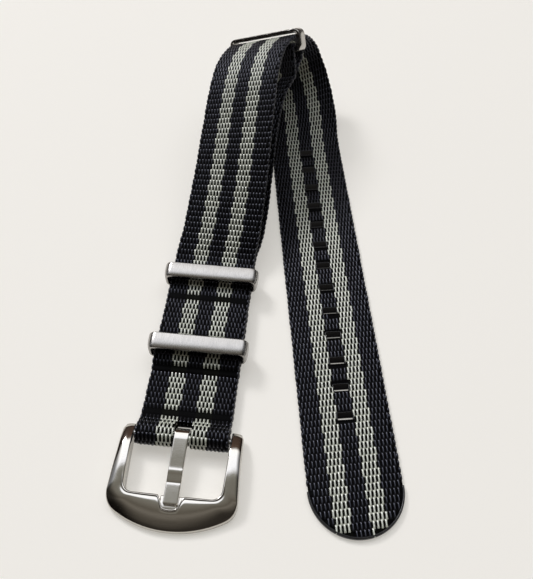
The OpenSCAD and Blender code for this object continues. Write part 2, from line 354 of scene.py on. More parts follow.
def join(name: str, pieces: Sequence[bpy.types.Object]) -> bpy.types.Object:
    """Join pieces into the first one and name it."""
    with bpy.context.temp_override(active_object=pieces[0],
                                   selected_editable_objects=list(pieces)):
        bpy.ops.object.join()
    pieces[0].name = pieces[0].data.name = name
    return pieces[0]


# Lines


def blended(a: float, b: float, c: float, d: float, t: float) -> float:
    """One value of a smooth line between b and c, guided by a and d."""
    return 0.5 * (2 * b + (c - a) * t + (2 * a - 5 * b + 4 * c - d) * t * t
                  + (3 * b - a - 3 * c + d) * t ** 3)


def smooth_line(points: Sequence[Sequence[float]], first: int, last: int,
                steps: int) -> list[tuple[float, ...]]:
    """Run a smooth line through points.

    Args:
        points: Points of equal size, with guides before first and after last.
        first: Number of the point that the line starts at.
        last: Number of the point that it ends at.
        steps: Points made for each span.

    Returns:
        The points of the line.
    """
    line: list[tuple[float, ...]] = []
    for i in range(first, last):
        four = [points[j] for j in (max(i - 1, 0), i, i + 1, min(i + 2, len(points) - 1))]
        line += [tuple(blended(*values, k / steps) for values in zip(*four)) for k in range(steps)]
    return line + [tuple(points[last])]


def arc(cx: float, cy: float, radius: float, start: float, end: float, steps: int) -> Loop:
    """Points of an arc, with its angles in degrees."""
    turns = [math.radians(start + (end - start) * i / steps) for i in range(steps + 1)]
    return [(cx + radius * math.cos(a), cy + radius * math.sin(a)) for a in turns]


def rounded_rectangle(width: float, height: float, radius: float, steps: int) -> Loop:
    """Outline of a rectangle about the origin with round corners, anticlockwise."""
    x, y = width / 2 - radius, height / 2 - radius
    return [p for cx, cy, a in ((x, -y, -90), (x, y, 0), (-x, y, 90), (-x, -y, 180))
            for p in arc(cx, cy, radius, a, a + 90, steps)]


def read(points: Sequence[Flat], x: float) -> float:
    """Read a value from a line of points, held beyond its ends."""
    if x <= points[0][0]:
        return points[0][1]
    for (a, p), (b, q) in zip(points, points[1:]):
        if x <= b:
            return p + (q - p) * (x - a) / (b - a)
    return points[-1][1]


def clamped(value: float) -> float:
    """Hold a share between 0 and 1."""
    return min(max(value, 0.0), 1.0)


@dataclass(frozen=True)
class Layout:
    """Where the buckle end and the end ring lie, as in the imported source."""

    head: Flat = (-35.0, -53.4)
    head_yaw: float = 9.8
    bar_z: float = 2.6
    ring_at: tuple[float, float, float] = (-9.8, 55.7, 20.5)
    ring_yaw: float = -26.0
    ring_roll: float = 24.0
    ring_pitch: float = -28.0

    def head_matrix(self) -> Matrix:
        """Frame of the buckle end: x to its right, y along it from the spring bar, z up."""
        return (Matrix.Translation((self.head[0], self.head[1], 0))
                @ Matrix.Rotation(math.radians(-self.head_yaw), 4, "Z"))

    def ring_matrix(self) -> Matrix:
        """Frame of the end ring, with its opening along y."""
        return (Matrix.Translation(self.ring_at)
                @ Matrix.Rotation(math.radians(self.ring_yaw), 4, "Z")
                @ Matrix.Rotation(math.radians(-self.ring_roll), 4, "Y")
                @ Matrix.Rotation(math.radians(self.ring_pitch), 4, "X"))

    def head_row(self, s: float, z: float) -> tuple[float, ...]:
        """Route row of a place along the buckle end."""
        yaw = math.radians(self.head_yaw)
        return (self.head[0] + s * math.sin(yaw), self.head[1] + s * math.cos(yaw), z,
                -self.head_yaw, 0)


LAYOUT = Layout()
HEAD = LAYOUT.head_matrix()


def side_stations(line: Iterable[Flat], frame_of: Matrix) -> Stations:
    """Places and sideways directions of a line drawn in the side view of a frame."""
    places = [frame_of @ Vector((0, y, z)) for y, z in line]
    return places, [frame_of.to_3x3() @ Vector((1, 0, 0)) for _ in places]


def route_stations(rows: Iterable[Sequence[float]]) -> Stations:
    """Places and sideways directions of rows of x, y, z, turn about Z and right end's lift."""
    places, across = [], []
    for x, y, z, yaw, roll in rows:
        a, b = math.radians(yaw), math.radians(roll)
        places.append(Vector((x, y, z)))
        across.append(Vector((math.cos(a) * math.cos(b), math.sin(a) * math.cos(b), math.sin(b))))
    return places, across


@dataclass
class Course:
    """Middle line of a length of webbing, with its sideways and outward directions."""

    places: list[Vector]
    across: list[Vector]
    melted: list[Flat] = field(default_factory=list)
    spacing: float = 0.35

    def __post_init__(self) -> None:
        """Space the points evenly and work out the outward direction at each."""
        reach = [0.0]
        for a, b in zip(self.places, self.places[1:]):
            reach.append(reach[-1] + (b - a).length)
        self.length = reach[-1]
        count = max(2, round(self.length / self.spacing))
        self.reach = [self.length * i / count for i in range(count + 1)]
        places, across, k = [], [], 0
        for s in self.reach:
            while k < len(reach) - 2 and reach[k + 1] < s:
                k += 1
            share = (s - reach[k]) / max(reach[k + 1] - reach[k], 1e-9)
            places.append(self.places[k].lerp(self.places[k + 1], share))
            across.append(self.across[k].lerp(self.across[k + 1], share).normalized())
        self.places, self.across = places, across
        self.outward = [side.cross(places[min(i + 1, count)] - places[max(i - 1, 0)]).normalized()
                        for i, side in enumerate(across)]

    def reach_of(self, place: Vector) -> float:
        """Distance along the course of its point nearest to a place."""
        return min(zip(self.places, self.reach), key=lambda spot: (spot[0] - place).length)[1]

    def cut(self, start: float, end: float) -> "Course":
        """The part of the course between two distances."""
        keep = [i for i, s in enumerate(self.reach) if start - 1e-6 <= s <= end + 1e-6]
        return Course([self.places[i] for i in keep], [self.across[i] for i in keep])

    def guide(self) -> bpy.types.Object:
        """Make the mesh line that a weave is bent along, with its directions and melted shares."""
        mesh = bpy.data.meshes.new("guide")
        mesh.from_pydata([p * MM for p in self.places],
                         [(i, i + 1) for i in range(len(self.places) - 1)], [])
        for key, values in (("across", self.across), ("outward", self.outward)):
            store = mesh.attributes.new(key, "FLOAT_VECTOR", "POINT")
            store.data.foreach_set("vector", [c for v in values for c in v])
        store = mesh.attributes.new("melted", "FLOAT", "POINT")
        store.data.foreach_set("value", [
            max([0.0, *(1 - abs(s - at) / w for at, w in self.melted)]) for s in self.reach])
        return placed("guide", mesh)


# Finishes


def linear(code: str) -> tuple[float, float, float, float]:
    """Turn an sRGB hex colour into linear red, green, blue and alpha."""
    parts = [int(code[i:i + 2], 16) / 255 for i in (1, 3, 5)]
    bent_parts = [p / 12.92 if p <= 0.04045 else ((p + 0.055) / 1.055) ** 2.4 for p in parts]
    return (*bent_parts, 1.0)


def mixed(share: Term, low: str, high: str) -> Term:
    """Mix two sRGB hex colours."""
    return add_node(share.tree, "ShaderNodeMix", {
        "Factor": share, "A": linear(low), "B": linear(high)}, data_type="RGBA")["Result"]


def bump(height: Term, strength: float, distance: float) -> Term:
    """Turn heights into a normal, with the distance in metres."""
    return add_node(height.tree, "ShaderNodeBump", {
        "Strength": strength, "Distance": distance, "Height": height})


@dataclass(frozen=True)
class Finish:
    """A procedural material. Each kind says how the real surface comes about."""

    name: str

    def inputs(self, tree: bpy.types.NodeTree) -> dict[str, object]:
        """Values and terms for the shader's inputs."""
        raise NotImplementedError

    def material(self) -> bpy.types.Material:
        """Build the material."""
        made = bpy.data.materials.new(self.name)
        made.use_nodes = True
        tree = made.node_tree
        fill(tree.nodes["Principled BSDF"], self.inputs(tree))
        return made


@dataclass(frozen=True)
class Yarn(Finish):
    """Polyamide 6.6 multifilament, spun-dyed and woven. Its crowns shine softly, its sides dull."""

    colour: str
    deep: str
    roughness: float
    gloss: float
    ior: float = 1.75
    tint: str = "#ffffff"
    filament: float = 0.07

    def inputs(self, tree: bpy.types.NodeTree) -> dict[str, object]:
        """Filaments of 0.03 mm, drawn wider so that they show, and each float's own shade."""
        strands = add_node(tree, "ShaderNodeMapping", {
            "Vector": add_node(tree, "ShaderNodeUVMap", uv_map="UVMap"),
            "Scale": (0.5 / self.filament, 1.5, 1.0)})
        grain = add_node(tree, "ShaderNodeTexNoise", {
            "Vector": strands, "Scale": 1.0, "Detail": 2.0}, noise_dimensions="2D")
        own = add_node(tree, "ShaderNodeAttribute", attribute_name="shade")["Fac"]
        share = add_node(tree, "ShaderNodeMath", {0: grain, 1: 0.9, 2: own},
                         operation="MULTIPLY_ADD", use_clamp=True)
        return {"Base Color": mixed(share, self.deep, self.colour),
                "Normal": bump(grain, 0.5, 0.00003), "Roughness": self.roughness,
                "Sheen Weight": 0.02, "Sheen Roughness": 0.4, "Specular IOR Level": self.gloss,
                "IOR": self.ior, "Specular Tint": linear(self.tint)}


@dataclass(frozen=True)
class WebbingBody(Finish):
    """Weft and buried warp, beaten up on the loom, seen only between the yarns: black under the
    ground, painted shade under the stripes.
    """

    ground: str = "#050506"
    # Painted shade: the near-black olive seen in the gaps between the sage floats, where the sage
    # yarn lies in shadow
    stripe: str = "#0c0d09"
    inner: float = 1.85
    outer: float = 5.4
    rib: float = 1.487

    def inputs(self, tree: bpy.types.NodeTree) -> dict[str, object]:
        """Painted shade in the stripes' gaps, near-black where the sage weave lies in shadow, and a
        rib for each weft pick.
        """
        part = split(add_node(tree, "ShaderNodeUVMap", uv_map="UVMap"))
        # The stripes' gaps take the painted shade colour
        stripe_shade_mask = (abs(abs(part["X"]) - (self.inner + self.outer) / 2)
                  < (self.outer - self.inner) / 2)
        wave = (part["Y"] * (2 * math.pi / self.rib)).math("SINE")
        return {"Base Color": mixed(stripe_shade_mask, self.ground, self.stripe),
                "Normal": bump(wave, 0.6, 0.0001), "Roughness": 0.7, "Specular IOR Level": 0.05}


@dataclass(frozen=True)
class MeltedEdge(Finish):
    """Polyamide cut with a hot die. It sets as a smooth, glossy black bead with slight waves."""

    low: str = "#0b0b0d"
    high: str = "#1b1a1c"

    def inputs(self, tree: bpy.types.NodeTree) -> dict[str, object]:
        """Waves of about half a millimetre."""
        lumps = add_node(tree, "ShaderNodeTexNoise", {
            "Vector": add_node(tree, "ShaderNodeTexCoord")["Object"], "Scale": 1800.0,
            "Detail": 2.0})
        return {"Base Color": mixed(lumps, self.low, self.high),
                "Normal": bump(lumps, 0.35, 0.00008), "Roughness": 0.3}


@dataclass(frozen=True)
class Steel(Finish):
    """Stainless steel 316L. A belt leaves fine lines along one direction, and polish blurs them."""

    colour: str
    roughness: float
    line: float = 0.09
    depth: float = 0.00002
    tone: float = 0.9
    turn: tuple[float, float, float] = (0.0, 0.0, math.radians(LAYOUT.head_yaw))
    stretch: tuple[float, float, float] = (1.0, 0.06, 1.0)

    def inputs(self, tree: bpy.types.NodeTree) -> dict[str, object]:
        """Grinding lines of the given spacing in millimetres, under a faint cloud of wear."""
        at = add_node(tree, "ShaderNodeTexCoord")["Object"]
        turned = add_node(tree, "ShaderNodeMapping", {"Vector": at, "Rotation": self.turn})
        laid = add_node(tree, "ShaderNodeMapping", {
            "Vector": turned, "Scale": tuple(s / (self.line * MM) for s in self.stretch)})
        lines = add_node(tree, "ShaderNodeTexNoise", {
            "Vector": laid, "Scale": 1.0, "Detail": 3.0, "Roughness": 0.6})
        cloud = add_node(tree, "ShaderNodeTexNoise", {"Vector": at, "Scale": 400.0, "Detail": 2.0})
        tone = add_node(tree, "ShaderNodeMapRange", {
            "Value": lines, "From Min": 0.25, "From Max": 0.75, "To Min": self.tone, "To Max": 1.0})
        half = self.roughness * 0.5
        return {"Base Color": mixed(tone, "#000000", self.colour),
                "Roughness": (lines + cloud).math("MULTIPLY_ADD", half, half),
                "Normal": bump(lines, 0.5, self.depth), "Metallic": 1.0}


class Finishes:
    """Every material of the strap, built once."""

    def __init__(self) -> None:
        """Build the finishes."""
        self.yarns = {
            Shade.GROUND: Yarn("black_nylon_yarn", "#08080b", "#030304", 0.33, 0.36,
                               tint="#dfe2f6").material(),
            Shade.STRIPE: Yarn("sage_nylon_yarn", "#dfe2d3", "#a2a694", 0.37, 1.0,
                               ior=1.95).material()}
        self.body = WebbingBody("nylon_webbing_body").material()
        self.sealed = MeltedEdge("heat_sealed_nylon").material()
        self.satin = Steel("satin_brushed_steel", "#b4b1ad", 0.27, line=0.13, tone=0.7).material()
        ring_turn = (0.0, math.radians(LAYOUT.ring_roll), math.radians(-LAYOUT.ring_yaw))
        self.ring_satin = Steel("satin_brushed_ring_steel", "#bdbab5", 0.17,
                                turn=ring_turn).material()
        self.polished = Steel("polished_steel", "#c8c4bd", 0.11, depth=0.000006,
                              stretch=(0.08, 1.0, 1.0)).material()
        self.drawn = Steel("drawn_spring_steel", "#b4b4b4", 0.26).material()


# Webbing


@dataclass
class Weave:
    """Warp yarns that float over the webbing in a stepped net, three rows to a repeat."""

    row_pitch: float = 1.487
    column_pitch: float = 0.83
    columns: int = 24
    float_length: float = 1.72
    float_width: float = 0.54
    float_height: float = 0.38
    surface: float = 0.26
    stripe_inner: float = 1.86
    stripe_outer: float = 5.36
    half_width: float = 9.6
    tip_radius: float = 9.35
    edge: float = 9.62
    edge_thickness: float = 0.5
    edge_width: float = 0.34
    seed: int = 7

    def __post_init__(self) -> None:
        """Build what both lengths of webbing share."""
        self.tree, self.edge_tree = self.float_tree(), self.selvedge_tree()
        self.forms = {face: self.float_form(face) for face in Face}

    def float_form(self, face: Face) -> bpy.types.Object:
        """Make one yarn float of unit size, which dips at both ends.

        Args:
            face: The reed leaves the outer face uppermost, where a float is full at its far end
                and lean at the near one.

        Returns:
            The float.
        """
        columns, half_turn, sunk = 4, 0.94, 0.1
        profile = {
            Face.OUTER: [(-0.5, 1.0, 0.1, 0.12), (-0.42, 0.96, 0.5, 0.1), (-0.16, 0.72, 0.74, 0.04),
                         (0.18, 0.86, 1.0, -0.05), (0.4, 1.15, 0.8, -0.11), (0.5, 1.1, 0.1, -0.13)],
            Face.INNER: [(-0.5, 1.15, 0.2, 0.0), (-0.42, 1.12, 0.66, 0.0), (-0.2, 0.76, 0.86, 0.0),
                         (0.2, 0.76, 0.86, 0.0), (0.42, 1.12, 0.66, 0.0), (0.5, 1.15, 0.2, 0.0)],
        }[face]
        points, spots = [], []
        for y, wide, crown, bend in profile:
            for share in (i / (columns - 1) for i in range(columns)):
                a = math.pi * (share - 0.5) * half_turn
                points.append((0.5 * math.sin(a) * wide + bend, y, crown * math.cos(a) - sunk))
                spots.append((share, y + 0.5))
        faces = [(j + i, j + i + 1, j + columns + i + 1, j + columns + i)
                 for j in range(0, len(points) - columns, columns) for i in range(columns - 1)]
        piece = new_object("yarn_float", [tuple(c / MM for c in p) for p in points], faces)
        lay_uv(piece, spots)
        return piece

    def float_tree(self) -> bpy.types.NodeTree:
        """Build the tree that lays the floats on a flat lattice and bends them along a guide."""
        lengths = {"Row Pitch": self.row_pitch, "Column Pitch": self.column_pitch,
                   "Float Length": self.float_length, "Float Width": self.float_width,
                   "Float Height": self.float_height, "Surface": self.surface,
                   "Stripe Inner": self.stripe_inner, "Stripe Outer": self.stripe_outer,
                   "Half Width": self.half_width, "Tip Radius": self.tip_radius}
        tree, given = new_group("woven_floats", "Guide", {
            **{key: value * MM for key, value in lengths.items()}, "Start": 0.0, "Phase": 0.0,
            "Slant": 0.0, "Side": 1.0, "Stripe": 0.0, "Tip Centre": FAR, "Slot At": FAR,
            "Slot Pitch": 1.0, "Slot Count": 0.0, "Slot Half Length": 0.0, "Slot Half Width": 0.0,
            "Eye At": FAR, "Eye Half Length": 0.0, "Eye Half Width": 0.0},
            ("Rows", "Columns", "Seed"), ("Float Form",))
        columns = given["Columns"]
        index = add_node(tree, "GeometryNodeInputIndex")
        points = add_node(tree, "GeometryNodePoints", {"Count": given["Rows"] * columns})
        row = ((index + 0.5) / columns).math("FLOOR")
        step = (row / 3.0 + given["Phase"]).math("FRACT")
        x = (index - row * columns - columns * 0.5 + step) * given["Column Pitch"]
        y = given["Start"] + (row * given["Row Pitch"] + x * given["Slant"])
        # Which floats there are: this yarn's columns, clear of the edge, the tip, slots and seams
        inner, outer = given["Stripe Inner"], given["Stripe Outer"]
        in_stripe = abs(abs(x) - (inner + outer) * 0.5) < (outer - inner) * 0.5
        past_tip = (y - given["Tip Centre"]).math("MAXIMUM", 0.0)
        in_tip = (x * x + past_tip * past_tip).math("SQRT") < given["Tip Radius"]
        turns = (y - given["Slot At"]) / given["Slot Pitch"]
        last_slot = given["Slot Count"] - 1.0
        nearest = turns.math("ROUND").math("MAXIMUM", 0.0).math("MINIMUM", last_slot)
        from_slot = abs(turns - nearest) * given["Slot Pitch"]
        opened = ((from_slot < given["Slot Half Length"])
                  * (abs(x) < given["Slot Half Width"])).math(
            "MAXIMUM", (abs(y - given["Eye At"]) < given["Eye Half Length"])
            * (abs(x) < given["Eye Half Width"]))
        line = add_node(tree, "GeometryNodeMeshToCurve", {"Mesh": given["Guide"]})
        length = add_node(tree, "GeometryNodeCurveLength", {"Curve": line})
        kept = (in_stripe.math("COMPARE", given["Stripe"], 0.1) * (abs(x) < given["Half Width"])
                * in_tip * (y > 0.0) * (y < length) * (1.0 - opened)
                * (sample(line, "melted", y) < 0.5))
        thinned = add_node(tree, "GeometryNodeDeleteGeometry", {
            "Geometry": at_position(points, vector(tree, x, y)), "Selection": 1.0 - kept},
            domain="POINT")
        # One float at each point, each a little different
        loose = add_node(tree, "FunctionNodeRandomValue", {
            "Min": (0.92, 0.94, 0.85), "Max": (1.08, 1.06, 1.12), "Seed": given["Seed"]},
            data_type="FLOAT_VECTOR")
        part = split(loose)
        scale = vector(tree, part["X"] * given["Float Width"], part["Y"] * given["Float Length"],
                       part["Z"] * given["Float Height"])
        sway = random_value(tree, -0.035, 0.035, given["Seed"] + 1.0)
        form = add_node(tree, "GeometryNodeObjectInfo", {"Object": given["Float Form"]})
        laid = instanced(thinned, form["Geometry"], Rotation=vector(tree, z=sway), Scale=scale)
        shaded = add_node(tree, "GeometryNodeStoreNamedAttribute", {
            "Geometry": laid, "Name": "shade",
            "Value": random_value(tree, 0.0, 0.3, given["Seed"] + 2.0)},
            data_type="FLOAT", domain="INSTANCE")
        real = add_node(tree, "GeometryNodeRealizeInstances", {"Geometry": shaded})
        # Melted lines pull the floats down
        spot = split(add_node(tree, "GeometryNodeInputPosition"))
        pinch = 1.0 - sample(line, "melted", spot["Y"]) * 0.75
        lift = (spot["Z"] + given["Surface"]) * given["Side"] * pinch
        return close_group(bent(real, line, spot, spot["X"] * given["Side"], lift), given)

    def selvedge_tree(self) -> bpy.types.NodeTree:
        """Build the tree that strings the weft's turns along both edges of the webbing."""
        tree, given = new_group("selvedge_turns", "Guide", dict.fromkeys(
            ("Pitch", "Edge", "Thickness", "Width"), 0.0), ("Count", "Seed"))
        overlap = 0.56
        index = add_node(tree, "GeometryNodeInputIndex")
        points = add_node(tree, "GeometryNodePoints", {"Count": given["Count"] * 2.0})
        row = (index / 2.0).math("FLOOR")
        hand = (index - row * 2.0) * 2.0 - 1.0
        place = vector(tree, hand * given["Edge"], (row + 0.5) * given["Pitch"])
        knot = add_node(tree, "GeometryNodeMeshUVSphere", {
            "Segments": 8, "Rings": 5, "Radius": 1.0})
        soft = add_node(tree, "GeometryNodeSetShadeSmooth", {"Geometry": knot})
        loose = random_value(tree, 0.85, 1.15, given["Seed"])
        scale = vector(tree, given["Width"] * loose, given["Pitch"] * overlap * loose,
                       given["Thickness"] * loose)
        laid = instanced(at_position(points, place), soft, Scale=scale)
        real = add_node(tree, "GeometryNodeRealizeInstances", {"Geometry": laid})
        line = add_node(tree, "GeometryNodeMeshToCurve", {"Mesh": given["Guide"]})
        spot = split(add_node(tree, "GeometryNodeInputPosition"))
        return close_group(bent(real, line, spot, spot["X"], spot["Z"]), given)


@dataclass
class Webbing:
    """A length of woven webbing: its body, its yarns and its selvedges."""

    name: str
    course: Course
    weave: Weave
    finishes: Finishes
    width: float = 20.0
    half_width: float = 9.72
    half_thickness: float = 0.3

    def body(self, course: Course, name: str, eye: Flat = (0.0, 0.0)) -> bpy.types.Object:
        """Sweep the webbing's body along a course, with round edges and closed ends.

        Args:
            course: Middle line to follow.
            name: Name of the piece.
            eye: Distances along the course between which the tongue's slot is open.

        Returns:
            A closed mesh.
        """
        half, thick = self.half_width, self.half_thickness
        flats = [half - thick, 5.4, 1.9, -1.9, -5.4, -half + thick]
        section = [(x, -thick) for x in reversed(flats)]
        section += arc(half - thick, 0, thick, -60, 60, 4)
        section += [(x, thick) for x in flats]
        section += arc(-half + thick, 0, thick, 120, 240, 4)
        count, rows = len(section), len(course.places)
        points = [place + side * x + out * z for place, side, out in
                  zip(course.places, course.across, course.outward) for x, z in section]
        # The slot's walls join the corners on either side of it, above and below
        low, high = (2, 3), (14, 13)
        open_rows = [r for r in range(rows - 1) if eye[0] < course.reach[r] < eye[1]]
        faces = [face for n, face in enumerate(tube_faces(rows, count))
                 if not (n // count in open_rows and n % count in (low[0], high[1]))]
        faces += [(r * count + a, (r + 1) * count + a, (r + 1) * count + b, r * count + b)
                  for r in open_rows for a, b in zip(low, high)]
        if open_rows:
            faces += [tuple(r * count + i for i in (*low, *reversed(high)))
                      for r in (open_rows[0], open_rows[-1] + 1)]
        piece = new_object(name, points, faces + end_faces(rows, count))
        turn_outwards(piece)
        lay_uv(piece, [(x, s) for s in course.reach for x, _ in section])
        piece.data.materials.append(self.finishes.body)
        return piece

    def yarns(self, shade: Shade,
              blocks: Sequence[tuple[Face, dict[str, float]]]) -> bpy.types.Object:
        """Weave one of the two yarns on both faces.

        Args:
            shade: Which yarn.
            blocks: Face and extra inputs for each block of rows.

        Returns:
            One piece with the floats of both faces.
        """
        weave = self.weave
        return join(f"{self.name}_{shade.name.lower()}_yarn", [
            baked(f"{self.name}_{face.name.lower()}", self.course.guide(), weave.tree, {
                "Rows": int(self.course.length / weave.row_pitch) + 2, "Columns": weave.columns,
                "Seed": weave.seed + face.value, "Side": float(face.value),
                "Stripe": float(shade.value), "Float Form": weave.forms[face],
                "Material": self.finishes.yarns[shade], **extra}) for face, extra in blocks])

    def selvedge(self, course: Course, length: float, seed: int) -> bpy.types.Object:
        """String the weft's turns along both edges of a course."""
        weave = self.weave
        return baked(f"{self.name}_selvedge", course.guide(), weave.edge_tree, {
            "Pitch": weave.row_pitch * MM, "Edge": weave.edge * MM,
            "Thickness": weave.edge_thickness * MM, "Width": weave.edge_width * MM,
            "Count": int(length / weave.row_pitch), "Seed": seed,
            "Material": self.finishes.yarns[Shade.GROUND]})

    def declare(self, body: bpy.types.Object, parts: list[bpy.types.Object], node: str,
                **laid: object) -> None:
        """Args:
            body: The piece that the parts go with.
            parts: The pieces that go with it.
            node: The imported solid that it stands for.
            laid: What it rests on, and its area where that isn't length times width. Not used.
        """
        for piece in (body, *parts):
            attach(piece, "strap")
        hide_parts(node)
        self.width * MM
        LOG.info("%s: %.1f mm long", node, self.course.length)


@dataclass
class Plate:
    """A flat solid with a round edge all the way round each of its outlines.

    The edge is the rounding's depth in from the outline. Each run is its depth from a face, which
    is the edge where no run is given. A plate with a run has a sharper edge round its holes.
    """

    outer: Loop
    holes: list[Loop]
    half_thickness: float
    edge: float
    steps: int = 4
    run: float = 0.0
    low_run: float = 0.0
    hole_share: float = 0.35

    def inset(self, loop: Loop, amount: float, outward: int) -> Loop:
        """Draw an outline in from its edge by the given amount."""
        made = []
        for i, (x, y) in enumerate(loop):
            (ax, ay), (bx, by) = loop[i - 1], loop[(i + 1) % len(loop)]
            dx, dy = bx - ax, by - ay
            size = math.hypot(dx, dy) or 1.0
            made.append((x - outward * dy / size * amount, y + outward * dx / size * amount))
        return made

    def build(self, name: str,
              place: Callable[[float, float, float], Vector]) -> bpy.types.Object:
        """Make the plate.

        Args:
            name: Name of the piece.
            place: Turns a point of the plate's own frame into one of the part's frame.

        Returns:
            A closed mesh with its faces outwards.
        """
        made = bmesh.new()
        rims: list[list] = []
        turns = [math.pi / 2 * k / self.steps for k in range(self.steps + 1)]
        low_side, high_side = ([(self.edge * (1 - math.cos(a)),
                                 self.half_thickness - run * (1 - math.sin(a))) for a in turns]
                               for run in (self.low_run or self.edge, self.run or self.edge))
        profile = [(i, -z) for i, z in reversed(low_side)] + high_side
        for loop, outward in [(self.outer, 1)] + [(h, -1) for h in self.holes]:
            share = 1.0 if outward > 0 or not self.run else self.hole_share
            rings = [[made.verts.new(place(x, y, z))
                      for x, y in self.inset(loop, i * share, outward)] for i, z in profile]
            for low, high in zip(rings, rings[1:]):
                for k in range(len(loop)):
                    n = (k + 1) % len(loop)
                    made.faces.new((low[k], low[n], high[n], high[k]))
            rims += [rings[0], rings[-1]]
        for side in (0, 1):
            edges = [made.edges.get((rim[k], rim[(k + 1) % len(rim)]))
                     for rim in rims[side::2] for k in range(len(rim))]
            bmesh.ops.triangle_fill(made, edges=edges, use_beauty=True, use_dissolve=False)
        bmesh.ops.recalc_face_normals(made, faces=made.faces)
        mesh = bpy.data.meshes.new(name)
        made.to_mesh(mesh)
        made.free()
        mesh.transform(Matrix.Scale(MM, 4))
        mesh.polygons.foreach_set("use_smooth", [True] * len(mesh.polygons))
        return placed(name, mesh)


def rim_tree() -> bpy.types.NodeTree:
    """Build the node tree that puts a sealed rim in each slot, with a black sheet: the melted far
    wall, drawn deeper and wider as painted shade.
    """
    tree, given = new_group("sealed_rims", "Base", dict.fromkeys(
        ("First", "Pitch", "Length", "Width", "Corner", "Lip", "Height", "Middle"), 0.0),
        ("Count",), ("Ledge",))
    index = add_node(tree, "GeometryNodeInputIndex")
    points = add_node(tree, "GeometryNodePoints", {"Count": given["Count"]})
    place = vector(tree, 0.0, given["First"] + index * given["Pitch"], given["Middle"])
    outline = add_node(tree, "GeometryNodeCurvePrimitiveQuadrilateral", {
        "Width": given["Width"], "Height": given["Length"]})
    round_off = add_node(tree, "GeometryNodeFilletCurve", {
        "Curve": outline, "Count": 4, "Radius": given["Corner"]}, mode="POLY")
    ring = add_node(tree, "GeometryNodeCurvePrimitiveCircle", {
        "Resolution": 12, "Radius": 1.0}, mode="RADIUS")
    squashed = add_node(tree, "GeometryNodeTransform", {
        "Geometry": ring, "Scale": vector(tree, given["Lip"], given["Height"], 1.0)})
    rim = add_node(tree, "GeometryNodeCurveToMesh", {
        "Curve": round_off, "Profile Curve": squashed})
    soft = add_node(tree, "GeometryNodeSetShadeSmooth", {"Geometry": rim})
    ledge = add_node(tree, "GeometryNodeObjectInfo", {"Object": given["Ledge"]})["Geometry"]
    both = add_node(tree, "GeometryNodeJoinGeometry")
    for part in (soft, ledge):
        tree.links.new(part.socket, both.node.inputs[0])
    laid = instanced(at_position(points, place), both)
    return close_group(add_node(tree, "GeometryNodeRealizeInstances", {"Geometry": laid}), given)


